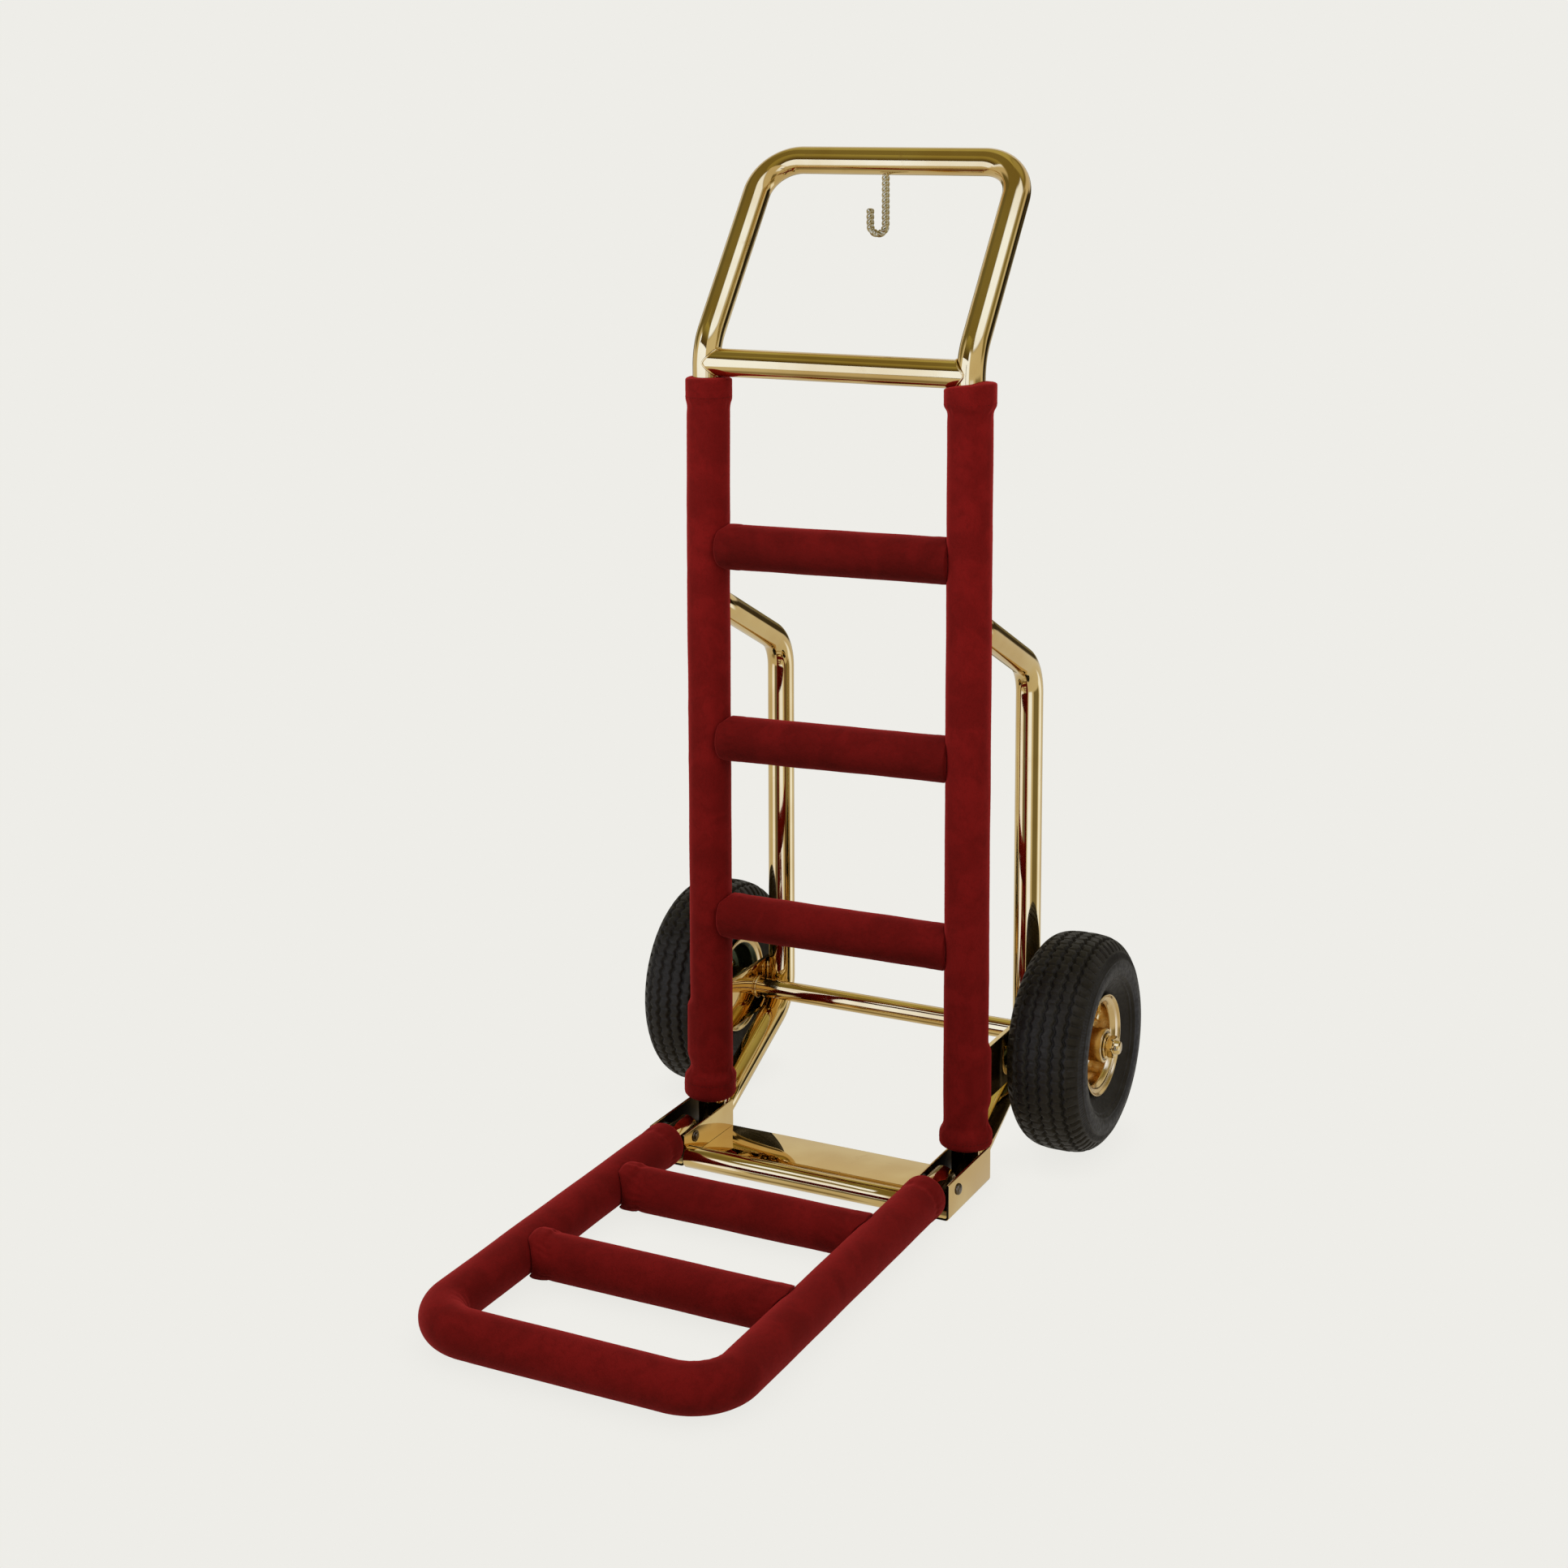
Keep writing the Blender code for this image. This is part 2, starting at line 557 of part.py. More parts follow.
def build_toe_frame(pin_cutter):
    """Tube, sleeve and two sleeved crossbars, all hung on the hinge axis."""
    pivot = add_empty("toe_pivot", PIVOT)
    tube_path = toe_path(PIVOT_Y + PIVOT_TAIL)
    tube = add_object("toe_tube", sweep_bm(tube_path, TUBE_R, TUBE_BORE_R), "brass", pivot)
    cut(tube, pin_cutter)
    tube_cutter = add_cutter("cutter_toe", sweep_bm(tube_path, TUBE_R + GAP))

    sleeve_path = toe_path(TOE_SLEEVE_END_Y)
    sleeve = add_object("toe_sleeve", sweep_bm(
        sleeve_path, SLEEVE_R, SLEEVE_BORE_R), "velvet", pivot)
    sleeve_cutter = add_cutter("cutter_toe_sleeve", sweep_bm(sleeve_path, SLEEVE_R + GAP))

    for place, y in TOE_BAR_Y.items():
        bar = add_object("toe_crossbar_" + place, cross_rod_bm(
            HALF_W, y, TOE_Z, TUBE_R, TUBE_BORE_R, CORE_SIDES), "brass", pivot)
        cut(bar, tube_cutter)
        cut(sleeve, add_cutter("cutter_toe_bar_" + place, cross_rod_bm(
            HALF_W, y, TOE_Z, TUBE_R + GAP, sides=CORE_SIDES)))
        bar_sleeve = add_object("toe_crossbar_sleeve_" + place, cross_rod_bm(
            TOE_BAR_SLEEVE_HALF, y, TOE_Z, SLEEVE_R, SLEEVE_BORE_R), "velvet", pivot)
        cut(bar_sleeve, sleeve_cutter)


def build_hinge_pin(side, sign):
    """Pin with a domed head outside the channel."""
    x = sign * HALF_W
    head = x + sign * (CHANNEL_OUT + GAP)
    shoulder, crown = (head + sign * depth for depth in PIN_HEAD_T)
    stations = [          # (x, radius)
        (x - sign * (CHANNEL_IN + PIN_END_LEN), PIN_R), (head, PIN_R), (head, PIN_HEAD_R),
        (shoulder, PIN_HEAD_R), (crown, PIN_HEAD_R * PIN_CROWN_RATIO)]
    angles = [2 * math.pi * k / PIN_SIDES for k in range(PIN_SIDES)]
    add_object("hinge_pin_" + side, skin_bm(
        [[(px, PIVOT_Y + radius * math.cos(angle), TOE_Z + radius * math.sin(angle))
          for angle in angles] for px, radius in stations]), "steel")


def build_hinge_rings(side, sign):
    """Spring clip on the pin's inner end, and a washer on each side of the toe tube."""
    centre = (sign * HALF_W, PIVOT_Y, TOE_Z)
    clip_start = -sign * (CHANNEL_IN + GAP)
    add_object("hinge_clip_" + side, ring_bm(
        clip_start, clip_start - sign * CLIP_T, PIN_BORE_R, CLIP_R, PIN_SIDES, centre), "steel")
    for where, facing, wall in (("outer", sign, CHANNEL_OUT), ("inner", -sign, CHANNEL_IN)):
        add_object("hinge_washer_%s_%s" % (side, where), ring_bm(
            facing * (TUBE_R + GAP), facing * (wall - SHEET_T - GAP),
            PIN_BORE_R, HINGE_WASHER_R, PIN_SIDES, centre), "nylon")


# ---------------------------------------------------------------------- wheels
def build_tyre(side, centre, axis):
    mirror = [(-x, r) for x, r in reversed(TYRE_HALF_OUTLINE[1:-1])]
    add_object("tyre_" + side, revolve_bm(
        TYRE_HALF_OUTLINE + mirror, TYRE_SEGMENTS, centre), "rubber", axis)


def inner_tube_outline(inset):
    """Oval (x, r) section of the inner tube, drawn in by `inset`."""
    low, high = INNER_TUBE_RADII
    half_width = INNER_TUBE_HALF_W - inset
    half_height = (high - low) / 2.0 - inset
    angles = [2.0 * math.pi * k / INNER_TUBE_SIDES for k in range(INNER_TUBE_SIDES)]
    return [(half_width * math.cos(angle), (low + high) / 2.0 + half_height * math.sin(angle))
            for angle in angles]


def build_inner_tube(side, sign, centre, axis):
    """Thin ring, open only at the valve, and the valve; returns the valve hole's cutter."""
    tube = add_object("inner_tube_" + side, revolve_bm(
        inner_tube_outline(0.0), WHEEL_SEGMENTS, centre), "rubber", axis)
    cut(tube, add_cutter("cavity_" + side, revolve_bm(
        inner_tube_outline(INNER_TUBE_WALL), WHEEL_SEGMENTS, centre)))
    spoke = Vector((0.0, math.cos(VALVE_ANGLE), math.sin(VALVE_ANGLE)))
    base = centre + Vector((sign * VALVE_OUT, 0, 0))
    hole = add_cutter("valve_bore_" + side, sweep_bm(
        [base + spoke * distance for distance in VALVE_HOLE_SPAN],
        VALVE_HOLE_R, sides=VALVE_SIDES))
    cut(tube, hole)
    add_object("valve_stem_" + side, sweep_bm(
        [base + spoke * distance for distance in VALVE_SPAN],
        VALVE_R, VALVE_BORE_R, VALVE_SIDES), "brass", axis)
    return hole


def build_rim(side, sign, centre, axis, valve_hole):
    """Pressed halves back to back about the wheel's centre plane."""
    outline = sheet_outline(RIM_PATH, RIM_T)
    for where, facing in (("outer", sign), ("inner", -sign)):
        half = add_object("rim_%s_%s" % (where, side), revolve_bm(
            [(facing * x, r) for x, r in outline], WHEEL_SEGMENTS, centre), "brass", axis)
        if where == "outer":
            cut(half, valve_hole)


def build_hub(side, sign, centre, axis):
    """Hub with a bearing seated in each end."""
    seat_r = BEARING_R + GAP
    seat_x = HUB_HALF - BEARING_LEN
    outline = [           # (x, r)
        (-HUB_HALF, HUB_R), (-HUB_HALF, seat_r), (-seat_x, seat_r), (-seat_x, HUB_BORE_R),
        (seat_x, HUB_BORE_R), (seat_x, seat_r), (HUB_HALF, seat_r), (HUB_HALF, HUB_R)]
    add_object("hub_" + side, revolve_bm(outline, WHEEL_SEGMENTS, centre), "brass", axis)
    for where, facing in (("outer", sign), ("inner", -sign)):
        add_object("bearing_%s_%s" % (where, side), ring_bm(
            facing * (seat_x + GAP), facing * (HUB_HALF - GAP),
            AXLE_BORE_R, BEARING_R, WHEEL_SEGMENTS, centre), "steel", axis)


def build_axle_hardware(side, sign, centre):
    """Fixed on the axle: a spacer inside the wheel, a washer and nut outside."""
    add_object("axle_spacer_" + side, ring_bm(
        sign * (PLATE_X + PLATE_T + GAP - WHEEL_X), -sign * (HUB_HALF + GAP),
        AXLE_BORE_R, SPACER_R, TUBE_SIDES, centre), "brass")
    washer_x = sign * (HUB_HALF + GAP)
    add_object("axle_washer_" + side, ring_bm(
        washer_x, washer_x + sign * WASHER_T,
        AXLE_BORE_R, WASHER_R, TUBE_SIDES, centre), "brass")

    nut_x = washer_x + sign * (WASHER_T + GAP)
    # the bore's flats, not its corners, stand clear of the rod
    bore_r = AXLE_BORE_R / math.cos(math.pi / NUT_SEGMENTS)
    nut = ring_bm(nut_x, nut_x + sign * NUT_T, bore_r, NUT_FLAT_R, NUT_SEGMENTS, centre)
    for vert in nut.verts:       # draw the outer ring out into a hexagon
        radial = vert.co - centre
        radial.x = 0.0
        if radial.length > (bore_r + NUT_FLAT_R) / 2:
            from_flat = math.atan2(radial.z, radial.y) % (math.pi / 3) - math.pi / 6
            vert.co += radial * (1.0 / math.cos(from_flat) - 1.0)
    add_object("axle_nut_" + side, nut, "brass")


def build_wheel(side, sign):
    centre = Vector((sign * WHEEL_X, AXLE_Y, AXLE_Z))
    axis = add_empty("wheel_axis_" + side, centre)
    build_tyre(side, centre, axis)
    valve_hole = build_inner_tube(side, sign, centre, axis)
    build_rim(side, sign, centre, axis, valve_hole)
    build_hub(side, sign, centre, axis)
    build_axle_hardware(side, sign, centre)


# -------------------------------------------------------------------- assembly
def build_cart():
    frame_cutter = build_frame()
    build_garment_hook()
    build_crossbar(frame_cutter)
    rung_cutters = build_rungs(frame_cutter)
    sleeve_cutters = []
    for side, sign in SIDE_SIGNS.items():
        rear_cutter = build_rear_tube(side, sign, frame_cutter)
        sleeve_cutters.append(build_upright_sleeve(side, sign, rung_cutters, rear_cutter))
    build_rung_sleeves(sleeve_cutters)
    build_axle()
    build_axle_plates()

    pin_cutter = add_cutter("cutter_pin", cross_rod_bm(
        HALF_W + PIN_CUTTER_OVERRUN, PIVOT_Y, TOE_Z, PIN_BORE_R, sides=PIN_SIDES))
    build_base()
    build_toe_frame(pin_cutter)
    for side, sign in SIDE_SIGNS.items():
        build_foot_channel(side, sign, pin_cutter)
        build_hinge_pin(side, sign)
        build_hinge_rings(side, sign)
        build_wheel(side, sign)


clear_scene()
build_cart()
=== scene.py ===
"""Looks of the two-wheeled hotel luggage cart: polished brass tube, velvet sleeves, pneumatic tyres.

Units are metres, +Z is up, the cart faces -Y.
"""
import math

import bmesh
import bpy
import numpy as np
from mathutils import Matrix, Vector


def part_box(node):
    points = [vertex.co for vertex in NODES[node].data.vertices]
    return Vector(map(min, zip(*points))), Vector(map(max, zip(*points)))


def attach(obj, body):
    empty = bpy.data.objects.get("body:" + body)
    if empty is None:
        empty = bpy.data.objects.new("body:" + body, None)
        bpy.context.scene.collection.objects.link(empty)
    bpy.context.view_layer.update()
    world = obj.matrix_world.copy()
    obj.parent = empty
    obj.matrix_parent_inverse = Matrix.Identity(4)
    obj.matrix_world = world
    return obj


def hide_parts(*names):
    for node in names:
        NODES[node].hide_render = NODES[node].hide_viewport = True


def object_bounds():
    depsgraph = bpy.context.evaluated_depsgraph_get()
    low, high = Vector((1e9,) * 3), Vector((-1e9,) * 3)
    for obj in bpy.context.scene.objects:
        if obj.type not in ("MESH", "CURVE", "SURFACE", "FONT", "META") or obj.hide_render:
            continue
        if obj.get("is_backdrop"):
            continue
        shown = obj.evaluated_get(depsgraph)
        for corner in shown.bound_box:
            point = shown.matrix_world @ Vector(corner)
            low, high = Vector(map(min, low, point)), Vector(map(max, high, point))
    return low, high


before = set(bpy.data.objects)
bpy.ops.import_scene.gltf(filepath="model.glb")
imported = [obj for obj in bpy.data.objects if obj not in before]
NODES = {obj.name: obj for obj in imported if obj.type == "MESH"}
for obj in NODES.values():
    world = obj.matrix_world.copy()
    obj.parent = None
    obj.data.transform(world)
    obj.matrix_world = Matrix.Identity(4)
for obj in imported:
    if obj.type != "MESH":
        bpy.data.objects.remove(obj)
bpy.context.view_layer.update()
RNG = np.random.RandomState(7)


def box(node):
    lo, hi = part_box(node)
    return np.array(lo, float), np.array(hi, float)


# ------------------------------------------------------------ sizes read from the frame
_lo, _hi = box("handle_crossbar")
TUBE_R = (_hi[1] - _lo[1]) / 2
CROSS_Z = (_hi[2] + _lo[2]) / 2
_lo, _hi = box("frame_tube")
HALF_W = _hi[0] - TUBE_R
TOP_Y, TOP_Z = _hi[1] - TUBE_R, _hi[2] - TUBE_R
FOOT_Z = _lo[2]
HANDLE_BEND_Z, HANDLE_BEND_R, HANDLE_CORNER_R = 0.938, 0.070, 0.048
WALL = 0.002

RUNG_Z = {k: (box("rung_sleeve_" + k)[0][2] + box("rung_sleeve_" + k)[1][2]) / 2
          for k in ("top", "middle", "bottom")}
RUNG_R = (box("rung_sleeve_top")[1][2] - box("rung_sleeve_top")[0][2]) / 2
TOE_Z = float(np.mean([box("toe_sleeve")[0][2], box("toe_sleeve")[1][2]]))
SLEEVE_R = (box("toe_sleeve")[1][2] - box("toe_sleeve")[0][2]) / 2
BORE_R = 0.0166
_lo, _hi = box("upright_sleeve_left")
SLEEVE_LO = _lo[2]
CUFF_R = (_hi[1] - _lo[1]) / 2

# ------------------------------------------------------------------- mesh tools


def grid_faces(n, m, close_i=False, close_j=True):
    faces = []
    for i in range(n if close_i else n - 1):
        a, b = i * m, ((i + 1) % n) * m
        for j in range(m if close_j else m - 1):
            k = (j + 1) % m
            faces.append((a + j, a + k, b + k, b + j))
    return faces


def make(name, verts, faces, material, body, replaces=(), sharp=None):
    me = bpy.data.meshes.new(name)
    me.from_pydata([tuple(map(float, v)) for v in verts], [], faces)
    me.update()
    bm = bmesh.new()
    bm.from_mesh(me)
    bmesh.ops.recalc_face_normals(bm, faces=bm.faces)
    bm.to_mesh(me)
    bm.free()
    me.shade_smooth()
    if sharp is not None:
        me.set_sharp_from_angle(angle=math.radians(sharp))
    me.materials.append(material)
    ob = bpy.data.objects.new(name, me)
    bpy.context.scene.collection.objects.link(ob)
    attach(ob, body)
    if replaces:
        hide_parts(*replaces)
    return ob


def transport(path, ref):
    P = np.array(path, float)
    n = len(P)
    T = np.zeros_like(P)
    T[1:-1] = P[2:] - P[:-2]
    T[0], T[-1] = P[1] - P[0], P[-1] - P[-2]
    T /= np.linalg.norm(T, axis=1)[:, None]
    N = np.zeros_like(P)
    v = np.array(ref, float)
    for i in range(n):
        v = v - T[i] * (v @ T[i])
        v /= np.linalg.norm(v)
        N[i] = v
    return P, T, N, np.cross(T, N)


def sweep_grid(path, R, ref, sides):
    """R: radius, either a number, one value for each station, or an (n, sides) array."""
    P, T, N, B = transport(path, ref)
    th = np.linspace(0, 2 * np.pi, sides, endpoint=False)
    R = np.asarray(R, float)
    if R.ndim == 0:
        R = np.full((len(P), sides), float(R))
    elif R.ndim == 1:
        R = np.repeat(R[:, None], sides, 1)
    return (P[:, None, :] + R[..., None] * (N[:, None, :] * np.cos(th)[None, :, None]
                                            + B[:, None, :] * np.sin(th)[None, :, None]))


def fillet_path(corners, radii, steps=24, max_run=None):
    pts = [Vector(corners[0])]
    for i in range(1, len(corners) - 1):
        a, b, c = (Vector(corners[i + k]) for k in (-1, 0, 1))
        u, v = (a - b).normalized(), (c - b).normalized()
        half = u.angle(v) / 2.0
        radius = radii[i - 1]
        reach = radius / math.tan(half)
        centre = b + (u + v).normalized() * (radius / math.sin(half))
        start, end = b + u * reach - centre, b + v * reach - centre
        axis = start.cross(end).normalized()
        sweep = start.angle(end)
        for k in range(steps + 1):
            pts.append(centre + Matrix.Rotation(sweep * k / steps, 3, axis) @ start)
    pts.append(Vector(corners[-1]))
    if not max_run:
        return [tuple(p) for p in pts]
    out = [pts[0]]
    for p in pts[1:]:
        d = (p - out[-1]).length
        m = max(1, int(math.ceil(d / max_run)))
        a = out[-1].copy()
        for k in range(1, m + 1):
            out.append(a.lerp(p, k / m))
    return [tuple(p) for p in out]


def resample(path, step):
    P = np.array(path, float)
    s = np.concatenate([[0], np.cumsum(np.linalg.norm(np.diff(P, axis=0), axis=1))])
    n = max(2, int(round(s[-1] / step)) + 1)
    t = np.linspace(0, s[-1], n)
    return np.stack([np.interp(t, s, P[:, k]) for k in range(3)], 1), t, s[-1]


def hollow_tube(name, path, r, wall, ref, sides, material, body, replaces=(), lip=0.0006):
    """A real tube: outer and inner skins, with a small rounded lip at both open ends."""
    P = np.array(path, float)
    d0 = (P[0] - P[1]) / np.linalg.norm(P[0] - P[1])
    d1 = (P[-1] - P[-2]) / np.linalg.norm(P[-1] - P[-2])
    body_pts = np.vstack([[P[0] - d0 * lip], P[1:-1], [P[-1] - d1 * lip]])
    outer = sweep_grid(body_pts, r, ref, sides)
    inner = sweep_grid(body_pts, r - wall, ref, sides)
    ends = sweep_grid(np.vstack([[P[0]], P[1:-1], [P[-1]]]), r - lip * 0.7, ref, sides)
    ends_in = sweep_grid(np.vstack([[P[0]], P[1:-1], [P[-1]]]), r - wall + lip * 0.7, ref, sides)
    rows = np.concatenate([ends[:1], outer, ends[-1:], ends_in[-1:], inner[::-1], ends_in[:1]])
    n = len(rows)
    return make(name, rows.reshape(-1, 3), grid_faces(n, sides, True, True), material, body,
                replaces, sharp=50)


def solid_rod(name, path, R, ref, sides, material, body, replaces=(), sharp=50):
    G = sweep_grid(path, R, ref, sides)
    n = len(G)
    faces = grid_faces(n, sides)
    faces.append(tuple(range(sides))[::-1])
    faces.append(tuple((n - 1) * sides + j for j in range(sides)))
    return make(name, G.reshape(-1, 3), faces, material, body, replaces, sharp)


def round2d(pts, radius, steps=4, closed=True):
    """Rounds the corners of a 2D outline; radius is one number or one for each corner."""
    n = len(pts)
    P = [np.array(p, float) for p in pts]
    rad = radius if hasattr(radius, "__len__") else [radius] * n
    out = []
    for i in range(n):
        if not closed and i in (0, n - 1):
            out.append(P[i])
            continue
        a, b, c = P[i - 1], P[i], P[(i + 1) % n]
        u, v = a - b, c - b
        lu, lv = np.linalg.norm(u), np.linalg.norm(v)
        u, v = u / lu, v / lv
        cosang = float(np.clip(u @ v, -1, 1))
        half = math.acos(cosang) / 2
        if rad[i] <= 0 or half > math.radians(88):
            out.append(b)
            continue
        reach = min(rad[i] / math.tan(half), 0.48 * lu, 0.48 * lv)
        r = reach * math.tan(half)
        centre = b + (u + v) / np.linalg.norm(u + v) * (r / math.sin(half))
        s, e = b + u * reach - centre, b + v * reach - centre
        a0, a1 = math.atan2(s[1], s[0]), math.atan2(e[1], e[0])
        da = (a1 - a0 + math.pi) % (2 * math.pi) - math.pi
        for k in range(steps + 1):
            t = a0 + da * k / steps
            out.append(centre + r * np.array([math.cos(t), math.sin(t)]))
    return out


def lathe_x(name, profile, centre, segs, material, body, replaces=(), sharp=40, closed=True,
            phase=0.0):
    """An (x, r) outline turned about the line parallel to X through centre."""
    pr = np.array(profile, float)
    a = phase + np.linspace(0, 2 * np.pi, segs, endpoint=False)
    V = np.zeros((segs, len(pr), 3))
    V[..., 0] = centre[0] + pr[None, :, 0]
    V[..., 1] = centre[1] + pr[None, :, 1] * np.cos(a)[:, None]
    V[..., 2] = centre[2] + pr[None, :, 1] * np.sin(a)[:, None]
    faces = grid_faces(segs, len(pr), True, closed)
    if not closed:
        m = len(pr)
        faces.append(tuple(k * m for k in range(segs)))
        faces.append(tuple(k * m + m - 1 for k in range(segs))[::-1])
    return make(name, V.reshape(-1, 3), faces, material, body, replaces, sharp)


def prism(name, outline, axis, a0, a1, material, body, replaces=(), bevel=0.0006, sharp=30):
    """A 2D outline pushed along one axis, with its long edges eased by a small bevel."""
    bm = bmesh.new()

    def at(p, t):
        if axis == "x":
            return (t, p[0], p[1])
        if axis == "y":
            return (p[0], t, p[1])
        return (p[0], p[1], t)
    A = [bm.verts.new(at(p, a0)) for p in outline]
    B = [bm.verts.new(at(p, a1)) for p in outline]
    n = len(A)
    for i in range(n):
        j = (i + 1) % n
        bm.faces.new((A[i], A[j], B[j], B[i]))
    f0, f1 = bm.faces.new(A), bm.faces.new(B[::-1])
    if bevel > 0:
        edges = [e for f in (f0, f1) for e in f.edges]
        bmesh.ops.bevel(bm, geom=edges, offset=bevel, segments=3, profile=0.5, affect="EDGES",
                        clamp_overlap=True)
    bmesh.ops.recalc_face_normals(bm, faces=bm.faces)
    me = bpy.data.meshes.new(name)
    bm.to_mesh(me)
    bm.free()
    me.shade_smooth()
    me.set_sharp_from_angle(angle=math.radians(sharp))
    me.materials.append(material)
    ob = bpy.data.objects.new(name, me)
    bpy.context.scene.collection.objects.link(ob)
    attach(ob, body)
    if replaces:
        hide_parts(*replaces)
    return ob


def soft_noise(u, v, waves, amp, count=14, seed=0):
    """Smooth waviness on a surface: u, v in metres; waves = (shortest, longest) wavelength."""
    r = np.random.RandomState(seed)
    out = np.zeros(np.broadcast(u, v).shape)
    for _ in range(count):
        wl = math.exp(r.uniform(math.log(waves[0]), math.log(waves[1])))
        ang = r.uniform(0, 2 * math.pi)
        out += np.sin(2 * np.pi * (u * math.cos(ang) + v * math.sin(ang)) / wl + r.uniform(0, 6.28))
    return out * amp / math.sqrt(count)


def ring_noise(s, th, radius, waves, amp, count=14, seed=0):
    """Waviness that closes round a tube of the given radius."""
    r = np.random.RandomState(seed)
    out = np.zeros(np.broadcast(s, th).shape)
    for _ in range(count):
        wl = math.exp(r.uniform(math.log(waves[0]), math.log(waves[1])))
        ang = r.uniform(0, 2 * math.pi)
        k = int(round(radius * 2 * math.pi * math.sin(ang) / wl))
        out += np.sin(2 * np.pi * s * math.cos(ang) / wl + k * th + r.uniform(0, 6.28))
    return out * amp / math.sqrt(count)


def smooth(x, a, b):
    t = np.clip((x - a) / (b - a), 0, 1)
    return t * t * (3 - 2 * t)


# -------------------------------------------------------------------- materials


class Nodes:
    """A short way to write node trees."""

    def __init__(self, tree):
        self.t = tree

    def new(self, kind, **inputs):
        n = self.t.nodes.new(kind)
        for k, v in inputs.items():
            key = k.replace("_", " ")
            self.set(n, key, v)
        return n

    def set(self, n, key, v):
        s = n.inputs[key] if not isinstance(key, int) else n.inputs[key]
        if hasattr(v, "is_output") or isinstance(v, bpy.types.NodeSocket):
            self.t.links.new(v, s)
        else:
            s.default_value = v

    def math(self, op, a, b=None, clamp=False):
        n = self.t.nodes.new("ShaderNodeMath")
        n.operation = op
        n.use_clamp = clamp
        self.set(n, 0, a)
        if b is not None:
            self.set(n, 1, b)
        return n.outputs[0]

    def ramp(self, value, stops, interpolation="LINEAR"):
        n = self.t.nodes.new("ShaderNodeValToRGB")
        n.color_ramp.interpolation = interpolation
        while len(n.color_ramp.elements) < len(stops):
            n.color_ramp.elements.new(0.5)
        for e, (p, c) in zip(n.color_ramp.elements, stops):
            e.position = p
            e.color = (*c, 1.0) if len(c) == 3 else c
        self.set(n, 0, value)
        return n.outputs[0]

    def maprange(self, v, a, b, c=0.0, d=1.0, kind="SMOOTHSTEP"):
        n = self.t.nodes.new("ShaderNodeMapRange")
        n.interpolation_type = kind
        self.set(n, 0, v)
        for i, x in enumerate((a, b, c, d)):
            self.set(n, 1 + i, x)
        return n.outputs[0]

    def mix(self, fac, a, b, kind="MIX"):
        n = self.t.nodes.new("ShaderNodeMix")
        n.data_type = "RGBA"
        n.blend_type = kind
        self.set(n, 0, fac)
        for i, x in ((6, a), (7, b)):
            if not isinstance(x, bpy.types.NodeSocket) and len(x) == 3:
                x = (*x, 1.0)
            self.set(n, i, x)
        return n.outputs[2]

    def noise(self, vec, scale, detail=4.0, rough=0.55, distort=0.0):
        n = self.t.nodes.new("ShaderNodeTexNoise")
        self.set(n, "Vector", vec)
        self.set(n, "Scale", scale)
        self.set(n, "Detail", detail)
        self.set(n, "Roughness", rough)
        self.set(n, "Distortion", distort)
        return n.outputs[0]

    def bump(self, height, strength, distance, normal=None):
        n = self.t.nodes.new("ShaderNodeBump")
        self.set(n, "Height", height)
        self.set(n, "Strength", strength)
        self.set(n, "Distance", distance)
        if normal is not None:
            self.set(n, "Normal", normal)
        return n.outputs[0]


WARM = (0.95, 0.72, 0.36, 1.0)


def start(name):
    m = bpy.data.materials.new(name)
    m.use_nodes = True
    m.node_tree.nodes.clear()
    N = Nodes(m.node_tree)
    out = N.new("ShaderNodeOutputMaterial")
    bsdf = N.new("ShaderNodeBsdfPrincipled")
    m.node_tree.links.new(bsdf.outputs[0], out.inputs[0])
    co = N.new("ShaderNodeTexCoord").outputs["Object"]
    return m, N, bsdf, co


def brass(name, colour=(0.80, 0.585, 0.235), dark=(0.70, 0.47, 0.16), rough=(0.035, 0.10), coat=0.25,
          brushed=None):
    m, N, b, co = start(name)
    broad = N.noise(co, 9.0, 3.0)
    blot = N.noise(co, 46.0, 5.0, 0.6, 0.4)
    fine = N.noise(co, 620.0, 3.0, 0.6)
    tint = N.mix(N.maprange(broad, 0.38, 0.66), colour, dark)
    spots = N.maprange(blot, 0.60, 0.74)
    tint = N.mix(N.math("MULTIPLY", spots, 0.35), tint, (0.60, 0.38, 0.12))
    N.set(b, "Base Color", tint)
    N.set(b, "Metallic", 1.0)
    r = N.maprange(blot, 0.30, 0.70, rough[0], rough[1])
    r = N.math("ADD", r, N.math("MULTIPLY", spots, 0.07))
    # fine polishing hairlines, stretched along each axis in turn
    mp = N.new("ShaderNodeMapping", Vector=co)
    mp.inputs["Scale"].default_value = brushed or (700.0, 40.0, 700.0)
    hair = N.noise(mp.outputs[0], 1.0, 3.0, 0.7)
    r = N.math("ADD", r, N.math("MULTIPLY", N.maprange(hair, 0.55, 0.75), 0.03))
    N.set(b, "Roughness", r)
    n1 = N.bump(broad, 0.05, 0.0008)
    n2 = N.bump(fine, 0.025, 0.00006, n1)
    n3 = N.bump(hair, 0.03, 0.00006, n2)
    N.set(b, "Normal", n3)
    N.set(b, "Coat Weight", coat)
    N.set(b, "Coat Roughness", 0.04)
    return m


